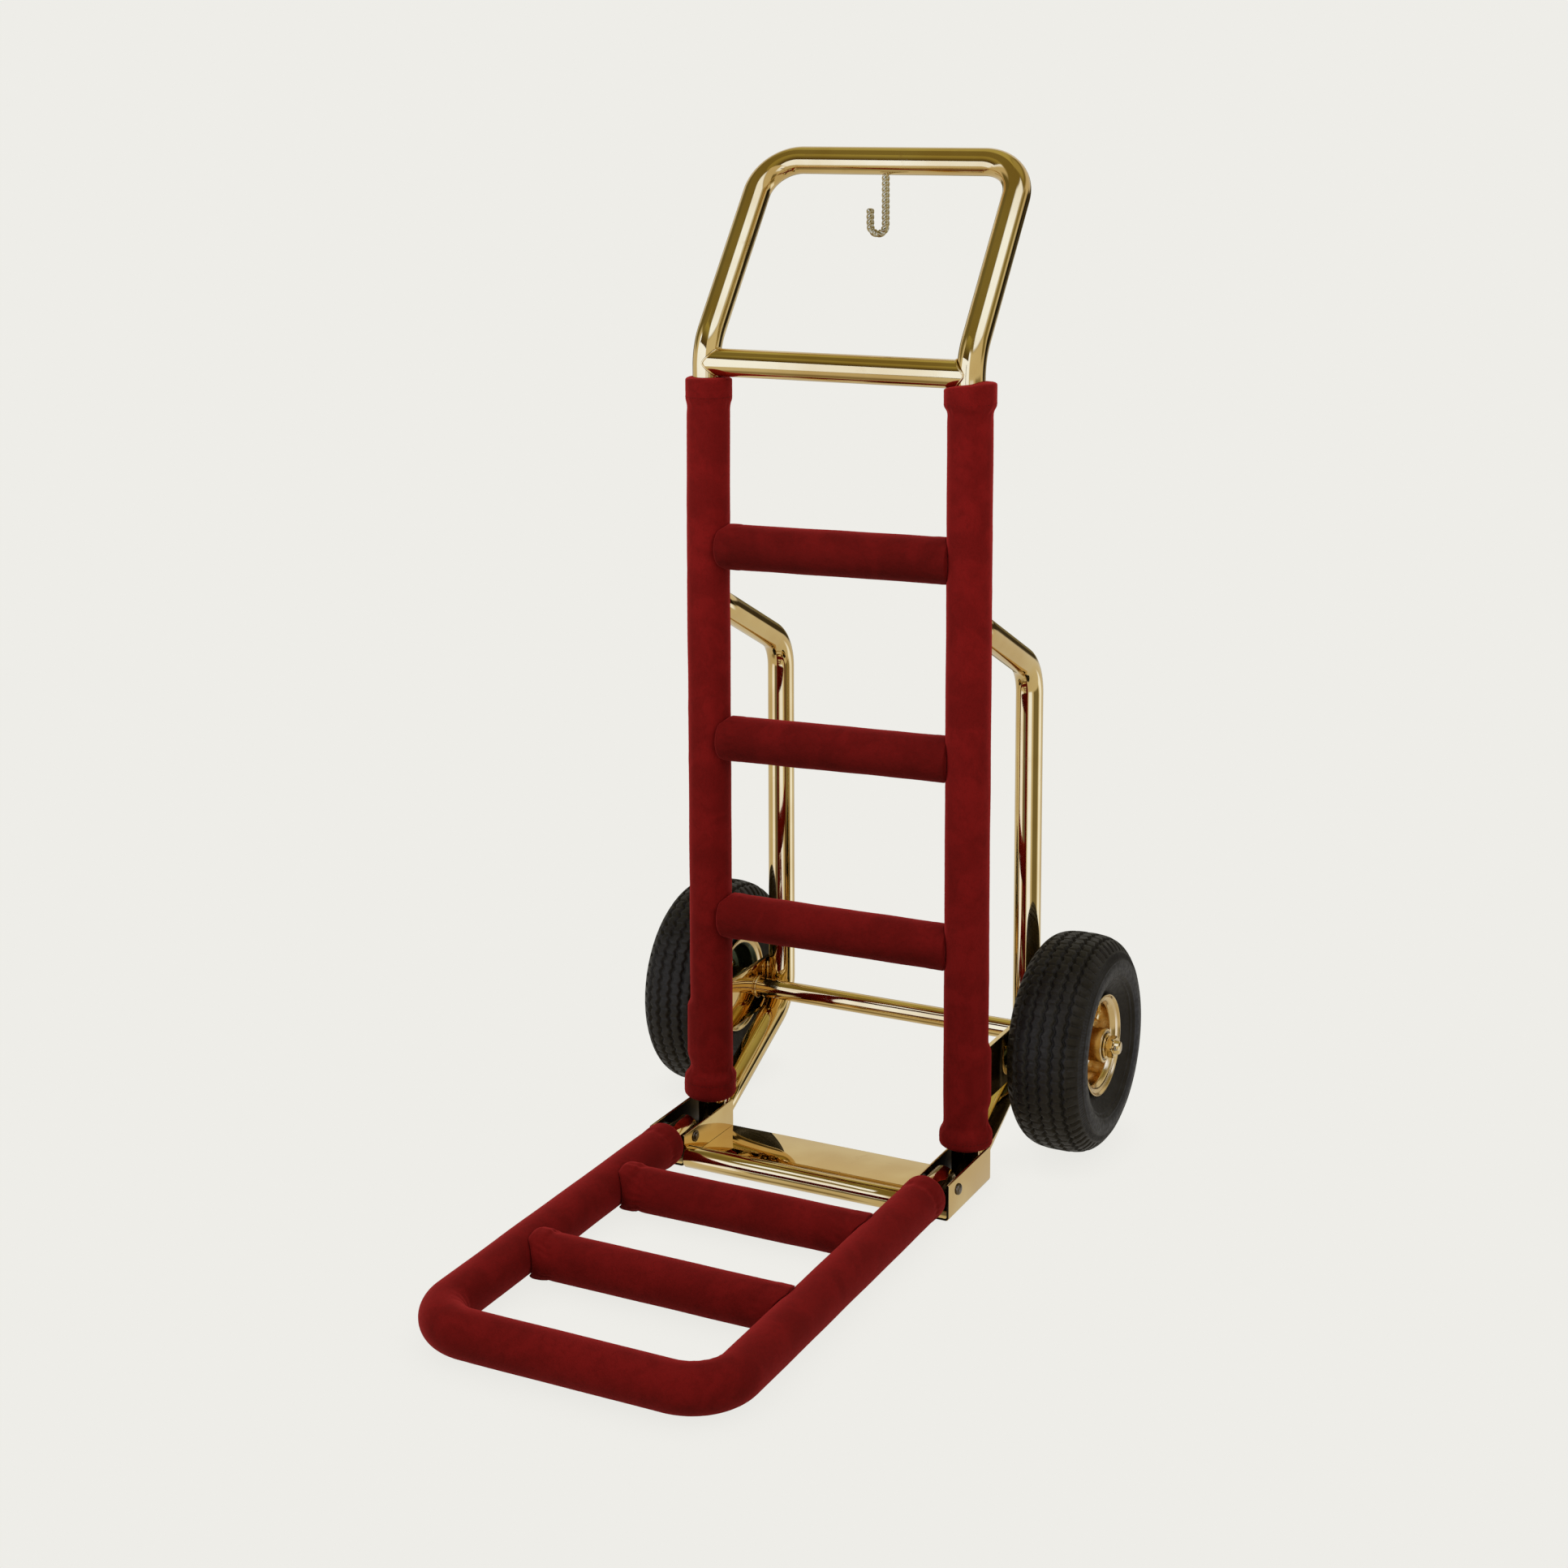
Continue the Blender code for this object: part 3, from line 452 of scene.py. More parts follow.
def velvet(name, deep=(0.118, 0.0046, 0.0045), rim=(0.36, 0.018, 0.018), seed=0.0, painted_top_light=None, tall=None):
    m, N, b, co = start(name)
    mp = N.new("ShaderNodeMapping", Vector=co)
    mp.inputs["Location"].default_value = (seed, seed * 0.7, 0.3)
    v = mp.outputs[0]
    patches = N.noise(v, 26.0, 4.0, 0.55, 0.6)       # nap pushed over by hand
    streak = N.noise(v, 120.0, 4.0, 0.6, 1.2)
    pile = N.noise(v, 1500.0, 2.0, 0.7)              # single tufts
    weave = N.noise(v, 420.0, 3.0, 0.65)
    # painted sheen: the colour is blended towards the bright rim colour where the surface turns away from view
    lw = N.new("ShaderNodeLayerWeight")
    lw.inputs["Blend"].default_value = 0.42
    painted_sheen_edge = N.maprange(lw.outputs["Facing"], 0.30, 0.95)
    col = N.mix(N.maprange(patches, 0.36, 0.64), deep, tuple(c * 1.42 for c in deep))
    col = N.mix(N.math("MULTIPLY", N.maprange(streak, 0.45, 0.70), 0.35), col, tuple(c * 0.62 for c in deep))
    col = N.mix(N.math("MULTIPLY", N.maprange(pile, 0.35, 0.68), 0.40), col, tuple(c * 1.9 for c in deep))
    col = N.mix(N.math("MULTIPLY", painted_sheen_edge, 0.80), col, rim)
    shade = None
    if painted_top_light:                    # painted light: darker on faces that look down, lighter on faces that look up, as if lit from above
        geo = N.new("ShaderNodeNewGeometry")
        nz = N.new("ShaderNodeSeparateXYZ", Vector=geo.outputs["Normal"]).outputs[2]
        shade = N.maprange(nz, -0.8, 0.85, painted_top_light[0], painted_top_light[1], "LINEAR")
    if tall:                    # darker towards the bottom, lighter towards the top
        pz = N.new("ShaderNodeSeparateXYZ", Vector=co).outputs[2]
        shade = N.maprange(pz, 0.10, 0.72, tall[0], tall[1])
    if shade is not None:
        g = N.new("ShaderNodeCombineXYZ", X=shade, Y=shade, Z=shade)
        col = N.mix(1.0, col, g.outputs[0], "MULTIPLY")
    N.set(b, "Base Color", col)
    N.set(b, "Roughness", 0.92)
    N.set(b, "Specular IOR Level", 0.10)
    N.set(b, "Specular Tint", WARM)
    N.set(b, "Sheen Weight", 0.16)
    N.set(b, "Sheen Roughness", 0.38)
    N.set(b, "Sheen Tint", (1.0, 0.10, 0.08, 1.0))
    h = N.math("ADD", N.math("MULTIPLY", pile, 0.6), N.math("MULTIPLY", weave, 0.8))
    n1 = N.bump(patches, 0.25, 0.0016)
    n2 = N.bump(streak, 0.22, 0.0007, n1)
    n3 = N.bump(h, 0.55, 0.0004, n2)
    N.set(b, "Normal", n3)
    return m


def rubber(name, colour=(0.0068, 0.0066, 0.0060), grey=(0.0150, 0.0146, 0.0132), dusty=(0.030, 0.029, 0.026)):
    m, N, b, co = start(name)
    broad = N.noise(co, 34.0, 5.0, 0.6, 0.5)
    fine = N.noise(co, 900.0, 3.0, 0.6)
    dust = N.noise(co, 190.0, 5.0, 0.7)
    col = N.mix(N.maprange(broad, 0.40, 0.70), colour, grey)
    col = N.mix(N.math("MULTIPLY", N.maprange(dust, 0.58, 0.75), 0.35), col, dusty)
    N.set(b, "Base Color", col)
    N.set(b, "Roughness", N.maprange(dust, 0.35, 0.70, 0.42, 0.62))
    N.set(b, "Specular IOR Level", 0.28)
    N.set(b, "Specular Tint", WARM)
    n1 = N.bump(broad, 0.10, 0.0008)
    n2 = N.bump(fine, 0.22, 0.00015, n1)
    N.set(b, "Normal", n2)
    return m


def steel(name, colour=(0.46, 0.38, 0.23), rough=(0.22, 0.38)):
    m, N, b, co = start(name)
    n = N.noise(co, 160.0, 5.0, 0.6)
    fine = N.noise(co, 1200.0, 2.0)
    N.set(b, "Base Color", N.mix(N.maprange(n, 0.35, 0.7), colour, tuple(c * 0.55 for c in colour)))
    N.set(b, "Metallic", 1.0)
    N.set(b, "Roughness", N.maprange(n, 0.3, 0.7, rough[0], rough[1]))
    N.set(b, "Normal", N.bump(fine, 0.15, 0.0001))
    return m


def plastic(name, colour=(0.02, 0.019, 0.018)):
    m, N, b, co = start(name)
    n = N.noise(co, 300.0, 4.0, 0.6)
    N.set(b, "Base Color", N.mix(N.maprange(n, 0.35, 0.7), colour, tuple(c * 2.2 for c in colour)))
    N.set(b, "Roughness", N.maprange(n, 0.3, 0.7, 0.38, 0.58))
    N.set(b, "Specular Tint", WARM)
    N.set(b, "Normal", N.bump(n, 0.2, 0.0001))
    return m


def thread(name, colour=(0.075, 0.004, 0.004)):
    m, N, b, co = start(name)
    w = N.new("ShaderNodeTexWave", Vector=co)
    w.inputs["Scale"].default_value = 900.0
    w.inputs["Distortion"].default_value = 3.0
    n = N.noise(co, 1400.0, 2.0)
    N.set(b, "Base Color", N.mix(n, colour, tuple(c * 0.5 for c in colour)))
    N.set(b, "Roughness", 0.7)
    N.set(b, "Specular IOR Level", 0.15)
    N.set(b, "Specular Tint", WARM)
    N.set(b, "Normal", N.bump(w.outputs[1], 0.4, 0.0002))
    return m


BRASS = brass("brass_polished")
BRASS_Z = brass("brass_polished_upright", brushed=(700.0, 700.0, 40.0))
BRASS_X = brass("brass_polished_crosswise", brushed=(40.0, 700.0, 700.0))
BRASS_SHEET = brass("brass_sheet", rough=(0.030, 0.065))
BRASS_PLATE = brass("brass_plate", rough=(0.006, 0.018), coat=0.0)
BRASS_RIM = brass("brass_rim", colour=(0.78, 0.565, 0.25), dark=(0.62, 0.41, 0.15), rough=(0.13, 0.24), coat=0.10)
# painted shade and dark reflection for the inner rim dishes, near the hub
RIM_PAINTED_SHADE = brass("brass_rim_inside_painted_shade", colour=(0.120, 0.145, 0.085), dark=(0.050, 0.062, 0.036),
                 rough=(0.22, 0.36), coat=0.0)
BRASS_HOOK = brass("brass_hook", colour=(0.60, 0.50, 0.27), dark=(0.44, 0.35, 0.16), rough=(0.10, 0.20), coat=0.10)
BRASS_HW = brass("brass_hardware", rough=(0.08, 0.16))
# painted shade for the inside of the foot channels
CHANNEL_PAINTED_SHADE = brass("brass_inside_painted_shade", colour=(0.050, 0.036, 0.018), dark=(0.022, 0.015, 0.008),
                rough=(0.30, 0.46), coat=0.0)
VELVET = velvet("velvet_upright", seed=0.0, tall=(0.86, 1.16))
# the rung and toe covers are painted lighter on top and darker underneath, as if lit from above
VELVET_R = velvet("velvet_rung", seed=1.7, painted_top_light=(0.50, 0.90))
VELVET_T = velvet("velvet_toe", seed=3.1, painted_top_light=(0.68, 0.84))
RUBBER = rubber("tyre_rubber")
TUBE_RUBBER = rubber("inner_tube_rubber", (0.012, 0.012, 0.012), (0.03, 0.03, 0.03))
STEEL = steel("steel_plated")
DARK_STEEL = steel("steel_pin", (0.20, 0.155, 0.095), (0.25, 0.42))
NYLON = plastic("nylon_washer")
THREAD = thread("stitch_thread")

# the hidden CAD nodes that stay in view keep their shape and get the finish of their neighbours
for name, ob in NODES.items():
    if name.startswith(("inner_tube",)):
        mat = TUBE_RUBBER
    elif name.startswith("tyre"):
        mat = RUBBER
    elif name.startswith(("bearing", "hinge_pin", "hinge_clip")) or name == "axle_rod":
        mat = STEEL
    elif name.startswith("hinge_washer"):
        mat = NYLON
    elif "sleeve" in name:
        mat = VELVET
    else:
        mat = BRASS
    ob.data.materials.clear()
    ob.data.materials.append(mat)

# ------------------------------------------------------------------ brass tubing
hoop_path = fillet_path(
    [(-HALF_W, 0, FOOT_Z), (-HALF_W, 0, HANDLE_BEND_Z), (-HALF_W, TOP_Y, TOP_Z),
     (HALF_W, TOP_Y, TOP_Z), (HALF_W, 0, HANDLE_BEND_Z), (HALF_W, 0, FOOT_Z)],
    [HANDLE_BEND_R, HANDLE_CORNER_R, HANDLE_CORNER_R, HANDLE_BEND_R], steps=28, max_run=0.05)
hollow_tube("hoop", hoop_path, TUBE_R, WALL, (1, 0, 0), 72, BRASS_Z, "frame", ["frame_tube"])


def coped_bar(name, z, y, r, half, r_post, material, body, replaces, rings=9, sides=72):
    """A hollow bar between two posts, its ends cut to fit round them."""
    th = np.linspace(0, 2 * np.pi, sides, endpoint=False)
    rows = []
    for rr, order in ((r, 1), (r - WALL, -1)):
        yy, zz = rr * np.cos(th), rr * np.sin(th)
        xe = half - np.sqrt(np.maximum(r_post ** 2 - yy ** 2, 0.0)) + 0.0004
        ts = np.linspace(-1, 1, rings)[::order]
        for t in ts:
            rows.append(np.stack([t * xe, y + yy, z + zz], 1))
    G = np.array(rows)
    return make(name, G.reshape(-1, 3), grid_faces(len(G), sides, True, True), material, body,
                replaces, sharp=50)


coped_bar("handle_bar_lower", CROSS_Z, 0.0, TUBE_R, HALF_W, TUBE_R, BRASS_X, "frame",
          ["handle_crossbar"])


def bead(name, pts, r, material, body, closed=True, sides=12):
    """A weld bead dressed smooth, following a closed or open line of points."""
    P = np.array(pts, float)
    if closed:
        n = len(P)
        T = np.roll(P, -1, 0) - np.roll(P, 1, 0)
        T /= np.linalg.norm(T, axis=1)[:, None]
        c = P.mean(0)
        V = P - c
        V -= T * (V * T).sum(1)[:, None]
        V /= np.linalg.norm(V, axis=1)[:, None]
        B = np.cross(T, V)
        th = np.linspace(0, 2 * np.pi, sides, endpoint=False)
        G = P[:, None, :] + r * (V[:, None, :] * np.cos(th)[None, :, None] + B[:, None, :] * np.sin(th)[None, :, None])
        return make(name, G.reshape(-1, 3), grid_faces(n, sides, True, True), material, body)
    n = len(P)
    R = np.full(n, r)
    R[0] = R[-1] = r * 0.35
    return solid_rod(name, P, R, (0.01, 0.02, 1.0), sides, material, body, sharp=60)


for sgn, side in ((-1, "left"), (1, "right")):
    th = np.linspace(0, 2 * np.pi, 96, endpoint=False)
    yy, zz = TUBE_R * np.cos(th), TUBE_R * np.sin(th)
    xx = HALF_W - np.sqrt(np.maximum((TUBE_R + 0.0002) ** 2 - yy ** 2, 0)) - 0.0003
    xx = np.minimum(xx, HALF_W - 0.0030)
    bead("crossbar_weld_" + side, np.stack([sgn * xx, yy * 1.01, CROSS_Z + zz * 1.01], 1), 0.0011,
         BRASS_X, "frame")

REAR_Y = box("rear_tube_right")[1][1] - TUBE_R
REAR_TOP_Z, REAR_UPPER, REAR_LOWER, REAR_FOOT, REAR_R = 0.649, 0.559, 0.105, 0.0125, 0.050
foot_slope = (REAR_LOWER - REAR_FOOT) / REAR_Y
for sgn, side in ((-1, "left"), (1, "right")):
    x = sgn * HALF_W
    path = fillet_path(
        [(x, 0.006, REAR_TOP_Z - 0.006 * (REAR_TOP_Z - REAR_UPPER) / REAR_Y), (x, REAR_Y, REAR_UPPER),
         (x, REAR_Y, REAR_LOWER), (x, 0.010, REAR_FOOT + 0.010 * foot_slope)], [REAR_R, REAR_R],
        steps=24, max_run=0.05)
    hollow_tube("rear_stay_" + side, path, TUBE_R, WALL, (1, 0, 0), 64, BRASS_Z, "frame",
                ["rear_tube_" + side])

# ------------------------------------------------------- axle, plates and hardware
lo, hi = box("axle_tube")
AXLE_Y, AXLE_Z = (lo[1] + hi[1]) / 2, (lo[2] + hi[2]) / 2
AXLE_R = (hi[1] - lo[1]) / 2
solid_rod("axle_cross_tube", [(lo[0], AXLE_Y, AXLE_Z), (0, AXLE_Y, AXLE_Z), (hi[0], AXLE_Y, AXLE_Z)],
          AXLE_R, (0, 1, 0), 56, BRASS_X, "frame", ["axle_tube"])
rlo, rhi = box("axle_rod")
ROD_R = (rhi[2] - rlo[2]) / 2
xs = [rlo[0], rlo[0] + 0.0012, rhi[0] - 0.0012, rhi[0]]
solid_rod("axle_shaft", [(x, AXLE_Y, AXLE_Z) for x in xs], [ROD_R - 0.0012, ROD_R, ROD_R, ROD_R - 0.0012],
          (0, 1, 0), 40, BRASS_HW, "frame", ["axle_rod"])

for sgn, side in ((-1, "left"), (1, "right")):
    lo, hi = box("axle_plate_" + side)
    c = 0.0075
    outline = round2d([(lo[1], lo[2]), (hi[1], lo[2]), (hi[1], hi[2]), (lo[1], hi[2])], c, 8)
    prism("axle_bracket_" + side, outline, "x", lo[0], hi[0], BRASS_SHEET, "frame",
          ["axle_plate_" + side], bevel=0.0009)
    inner = lo[0] if sgn > 0 else hi[0]
    th = np.linspace(0, 2 * np.pi, 64, endpoint=False)
    bead("axle_weld_" + side, np.stack([np.full(64, inner - sgn * 0.0006), AXLE_Y + (AXLE_R + 0.0007) * np.cos(th),
                                        AXLE_Z + (AXLE_R + 0.0007) * np.sin(th)], 1), 0.0016, BRASS_X, "frame")
    for k, yy in enumerate((REAR_Y - 0.0098, REAR_Y + 0.0098)):
        zz = np.linspace(lo[2] + 0.004, hi[2] - 0.004, 14)
        bead("bracket_weld_%s_%d" % (side, k), [(inner - sgn * 0.0016, yy, z) for z in zz], 0.0017,
             BRASS_Z, "frame", closed=False)
    lo, hi = box("axle_spacer_" + side)
    r = (hi[2] - lo[2]) / 2
    pr = round2d([(lo[0], ROD_R + 0.0004), (hi[0], ROD_R + 0.0004), (hi[0], r), (lo[0], r)], [0, 0, 0.001, 0.001], 4)
    lathe_x("axle_collar_" + side, pr, (0, AXLE_Y, AXLE_Z), 56, BRASS_HW, "frame", ["axle_spacer_" + side])
    lo, hi = box("axle_washer_" + side)
    r = (hi[2] - lo[2]) / 2
    pr = round2d([(lo[0], ROD_R + 0.0004), (hi[0], ROD_R + 0.0004), (hi[0], r), (lo[0], r)], [0, 0, 0.0006, 0.0006], 3)
    lathe_x("hub_washer_" + side, pr, (0, AXLE_Y, AXLE_Z), 56, BRASS_HW, "frame", ["axle_washer_" + side])
    # hexagon nut with turned chamfers
    lo, hi = box("axle_nut_" + side)
    seg = 72
    apothem = 0.0113
    a = np.linspace(0, 2 * np.pi, seg, endpoint=False)
    k = (a % (np.pi / 3)) - np.pi / 6
    hexr = apothem / np.cos(k)
    rows = []
    for x, cap in ((lo[0] + 0.0001, 0.0112), (lo[0] + 0.0010, 0.0124), (lo[0] + 0.0018, 0.02), (hi[0] - 0.0018, 0.02),
                   (hi[0] - 0.0010, 0.0124), (hi[0] - 0.0001, 0.0112)):
        rr = np.minimum(hexr, cap)
        rows.append(np.stack([np.full(seg, x), AXLE_Y + rr * np.cos(a), AXLE_Z + rr * np.sin(a)], 1))
    for x in (hi[0] - 0.0001, lo[0] + 0.0001):
        rr = np.full(seg, ROD_R + 0.0003)
        rows.append(np.stack([np.full(seg, x), AXLE_Y + rr * np.cos(a), AXLE_Z + rr * np.sin(a)], 1))
    G = np.array(rows)
    make("hub_nut_" + side, G.reshape(-1, 3), grid_faces(len(G), seg, True, True), BRASS_HW, "frame",
         ["axle_nut_" + side], sharp=25)
    # split pin through the end of the shaft
    xe = (rhi[0] if sgn > 0 else rlo[0]) - sgn * 0.0022
    pts = [(xe, AXLE_Y - 0.0125, AXLE_Z + 0.0035), (xe, AXLE_Y - 0.0105, AXLE_Z + 0.0010), (xe, AXLE_Y - 0.008, AXLE_Z),
           (xe, AXLE_Y + 0.008, AXLE_Z), (xe, AXLE_Y + 0.0098, AXLE_Z - 0.0012), (xe - sgn * 0.001, AXLE_Y + 0.0112, AXLE_Z - 0.0062)]
    sp, _, _ = resample(pts, 0.0008)
    solid_rod("split_pin_" + side, sp, 0.0011, (1, 0, 0), 12, STEEL, "frame")
    ring = [(xe, AXLE_Y - 0.0125 - 0.0022 * math.cos(t), AXLE_Z + 0.0035 + 0.0022 + 0.0022 * math.sin(t) - 0.0022)
            for t in np.linspace(0, 2 * math.pi, 28, endpoint=False)]
    bead("split_pin_eye_" + side, ring, 0.0009, STEEL, "frame")

# ---------------------------------------------------------- foot channels and base
for sgn, side in ((-1, "left"), (1, "right")):
    lo, hi = box("foot_channel_" + side)
    x_out, x_in = (hi[0], lo[0]) if sgn > 0 else (lo[0], hi[0])
    t = 0.0025
    z_out, z_in = hi[2], hi[2] - 0.004
    s = sgn
    section = [(x_in, z_in), (x_in, 0.0), (x_out, 0.0), (x_out, z_out), (x_out - s * t, z_out),
               (x_out - s * t, t), (x_in + s * t, t), (x_in + s * t, z_in)]
    outline = round2d(section, [0.0008, 0.0034, 0.0034, 0.0008, 0.0008, 0.0012, 0.0012, 0.0008], 6)
    shoe = prism("foot_shoe_" + side, outline, "y", lo[1], hi[1], BRASS_SHEET, "frame",
                 ["foot_channel_" + side], bevel=0.0005)
    shoe.data.materials.append(CHANNEL_PAINTED_SHADE)          # painted shade: the faces inside the channel get near-black brass
    for p in shoe.data.polygons:
        c = p.center
        if (c.x - x_in) * s > t * 0.7 and (x_out - c.x) * s > t * 0.7 and c.z > t * 0.7 and c.z < z_in - 0.001:
            p.material_index = 1
    xa, xb = sorted((x_in + s * 0.0018, x_out - s * 0.0018))
    prism("foot_shoe_lip_" + side, round2d([(lo[1], 0.0006), (lo[1] + t, 0.0006), (lo[1] + t, 0.0107), (lo[1], 0.0107)],
                                           [0.0006, 0.0006, 0.0011, 0.0011], 4),
          "x", xa, xb, BRASS_SHEET, "frame", bevel=0.0004)

lo, hi = box("base_plate")
SAG = math.tan(math.radians(1.1)) * (hi[1] - lo[1])           # the sheet falls a little towards the back
prism("base_sheet", round2d([(lo[1], lo[2] + SAG), (hi[1], lo[2]), (hi[1], hi[2]), (lo[1], hi[2] + SAG)], 0.0009, 4),
      "x", lo[0], hi[0], BRASS_PLATE, "frame", ["base_plate"], bevel=0.0)
lo, hi = box("base_front_tube")
by, bz, br = (lo[1] + hi[1]) / 2, (lo[2] + hi[2]) / 2, (hi[2] - lo[2]) / 2
hollow_tube("base_cross_tube", [(lo[0], by, bz), (-0.05, by, bz), (0.05, by, bz), (hi[0], by, bz)], br, 0.0015,
            (0, 1, 0), 56, BRASS_X, "frame", ["base_front_tube"])
plo, phi = box("base_plate")
bead("base_weld", [(x, plo[1] + 0.0004, phi[2] + SAG + 0.0002) for x in np.linspace(lo[0] + 0.002, hi[0] - 0.002, 40)],
     0.0014, BRASS_X, "frame", closed=False)

# ------------------------------------------------------------------ garment hook
lo, hi = box("garment_hook")
hr = 0.0046
hx = hi[0] - hr
hook_r = ((hi[0] - lo[0]) - 2 * hr) / 2
hz = lo[2] + hr + hook_r
tip_z = 1.0905
pts = [(hx, TOP_Y, hi[2] - 0.0005)]
pts += [(hx - hook_r + hook_r * math.cos(a), TOP_Y, hz - hook_r * math.sin(a)) for a in np.linspace(0, math.pi, 40)]
pts += [(hx - 2 * hook_r, TOP_Y, tip_z)]
hp, hs, hl = resample(pts, 0.0005)
sides = 40
th = np.linspace(0, 2 * np.pi, sides, endpoint=False)
pitch = 0.0260                                # a full turn of the twisted square bar
tw = (th[None, :] - (2 * np.pi / pitch) * hs[:, None]) % (np.pi / 2) - np.pi / 4
R = np.minimum(hr * 0.80 / np.cos(tw), hr)
cap = np.clip((hl - hs) / 0.0016, 0.0, 1.0)
R = R * (0.35 + 0.65 * np.sqrt(np.maximum(1 - (1 - cap) ** 2, 0)))[:, None]
solid_rod("coat_hook", hp, R, (0, 1, 0), sides, BRASS_HOOK, "frame", ["garment_hook"], sharp=70)

# ---------------------------------------------------------------- velvet sleeves


def sleeve_mesh(name, G_out, G_in, material, body, replaces):
    G = np.concatenate([G_out, G_in[::-1]])
    n, m = G.shape[:2]
    return make(name, G.reshape(-1, 3), grid_faces(n, m, True, True), material, body, replaces)


def lip(d, length):
    return np.sqrt(np.clip(1 - (1 - np.clip(d / length, 0, 1)) ** 2, 0, 1))


def stitches(name, pts, dirs, normals, length, r, body):
    """A row of small sewn stitches: each is a short arched thread."""
    V, F = [], []
    ns, nk = 7, 5
    for p, d, nrm in zip(pts, dirs, normals):
        d = d / np.linalg.norm(d)
        nrm = nrm / np.linalg.norm(nrm)
        b = np.cross(d, nrm)
        base = len(V)
        for i in range(ns):
            t = i / (ns - 1) * 2 - 1
            c = p + d * (t * length / 2) + nrm * (r * 0.9 * (1 - t * t) - r * 0.35)
            rr = r * math.sqrt(max(1 - (abs(t) ** 4), 0.12))
            for k in range(nk):
                a = 2 * math.pi * k / nk
                V.append(c + rr * (nrm * math.cos(a) + b * math.sin(a)))
        for i in range(ns - 1):
            for k in range(nk):
                j = (k + 1) % nk
                F.append((base + i * nk + k, base + i * nk + j, base + (i + 1) * nk + j, base + (i + 1) * nk + k))
        F.append(tuple(base + k for k in range(nk))[::-1])
        F.append(tuple(base + (ns - 1) * nk + k for k in range(nk)))
    return make(name, V, F, THREAD, body)


SIDES = 112
TH = np.linspace(0, 2 * np.pi, SIDES, endpoint=False)[None, :]

for sgn, side in ((-1, "left"), (1, "right")):
    SLEEVE_HI = box("upright_sleeve_" + side)[1][2]
    L = SLEEVE_HI - SLEEVE_LO
    z = np.concatenate([[0, 0.0006, 0.0014, 0.0026, 0.004], np.arange(0.006, L - 0.0055, 0.0026),
                        L - np.array([0.004, 0.0026, 0.0014, 0.0006, 0.0])])
    zc = z[:, None]
    zz = SLEEVE_LO + zc
    slack = 0.0004 if sgn < 0 else 0.0008                # the right cover is a looser fit
    R = np.full((len(z), SIDES), SLEEVE_R + slack)
    # hemmed cuffs
    top = L - zc
    high_r, low_r = (0.0268, 0.0305) if sgn < 0 else (0.0290, 0.0302)
    low_a, low_b = (0.026, 0.037) if sgn < 0 else (0.015, 0.028)
    low_cuff = (low_r - SLEEVE_R - slack) * (1 - smooth(zc, low_a, low_b))
    top_cuff = (high_r - SLEEVE_R - slack) * (1 - smooth(top, 0.0235, 0.0325))
    R += low_cuff + top_cuff - 0.0003 * np.exp(-((top - 0.036) / 0.004) ** 2)
    # little gathers where the hems pull in
    seed = 11 if sgn < 0 else 23
    for d, edge in ((top, 0.029), (zc, low_b - 0.003)):
        w = np.exp(-((d - edge) / 0.008) ** 2)
        ph = ring_noise(zc, TH, SLEEVE_R, (0.03, 0.08), 1.4, 6, seed)
        R += w * 0.00028 * np.cos(17 * TH + ph * 2.0)
    # the velvet bulges over the end of the axle bracket
    t_out = 0.0 if sgn > 0 else math.pi
    dth = np.abs((TH - t_out + math.pi) % (2 * math.pi) - math.pi)
    lo, hi = box("axle_plate_" + side)
    win = smooth(zz, lo[2] - 0.012, lo[2] + 0.004) * (1 - smooth(zz, hi[2] - 0.002, hi[2] + 0.010))
    R += (0.0042 - slack) * win * (1 - smooth(dth, math.radians(20), math.radians(72)))
    R += ring_noise(zc, TH, SLEEVE_R, (0.05, 0.30), 0.00016, 14, seed + 1)
    R += ring_noise(zc, TH, SLEEVE_R, (0.004, 0.010), 0.00004, 26, seed + 2)
    # a little slack above and below each rung
    for k, rz in RUNG_Z.items():
        w = np.exp(-((np.abs(zz - rz) - 0.031) / 0.008) ** 2)
        R += w * 0.00022 * np.cos(9 * TH + 2.0 * rz * 50)
    # sewn seam down the back
    t_seam = math.pi / 2 + sgn * 0.25
    ds = ((TH - t_seam + math.pi) % (2 * math.pi) - math.pi) * SLEEVE_R
    R += -0.0008 * np.exp(-(ds / 0.0012) ** 2) + 0.0004 * np.exp(-((np.abs(ds) - 0.003) / 0.0018) ** 2)
    e0, e1 = lip(zc, 0.0080 if sgn < 0 else 0.0060), lip(top, 0.0034)
    R = BORE_R + 0.0005 + (R - BORE_R - 0.0005) * np.minimum(e0, e1)
    # the cover hangs a little to one side of its tube
    zl = SLEEVE_LO + z
    if sgn < 0:
        dx = np.interp(zl, [0.043, 0.060, 0.085, 0.700, 0.790, 0.860, 0.880, 0.905],
                       [-0.0022, -0.0022, 0.0004, 0.0006, 0.0014, 0.0018, 0.0026, 0.0026])
    else:
        dx = np.interp(zl, [0.043, 0.100, 0.850, 0.905], [0.0004, -0.0003, -0.0003, -0.0003])
    dx *= np.minimum(e0, e1)[:, 0]
    path = np.stack([np.full(len(z), sgn * HALF_W) + dx, np.zeros(len(z)), SLEEVE_LO + z], 1)
    P3 = np.stack([sgn * HALF_W + dx[:, None] + R * np.cos(TH), R * np.sin(TH), np.repeat(zz, SIDES, 1)], 2)
    Gi = np.stack([np.stack([sgn * HALF_W + BORE_R * np.cos(TH[0]), BORE_R * np.sin(TH[0]), np.full(SIDES, v)], 1)
                   for v in (SLEEVE_LO, SLEEVE_HI)])
    if sgn > 0:
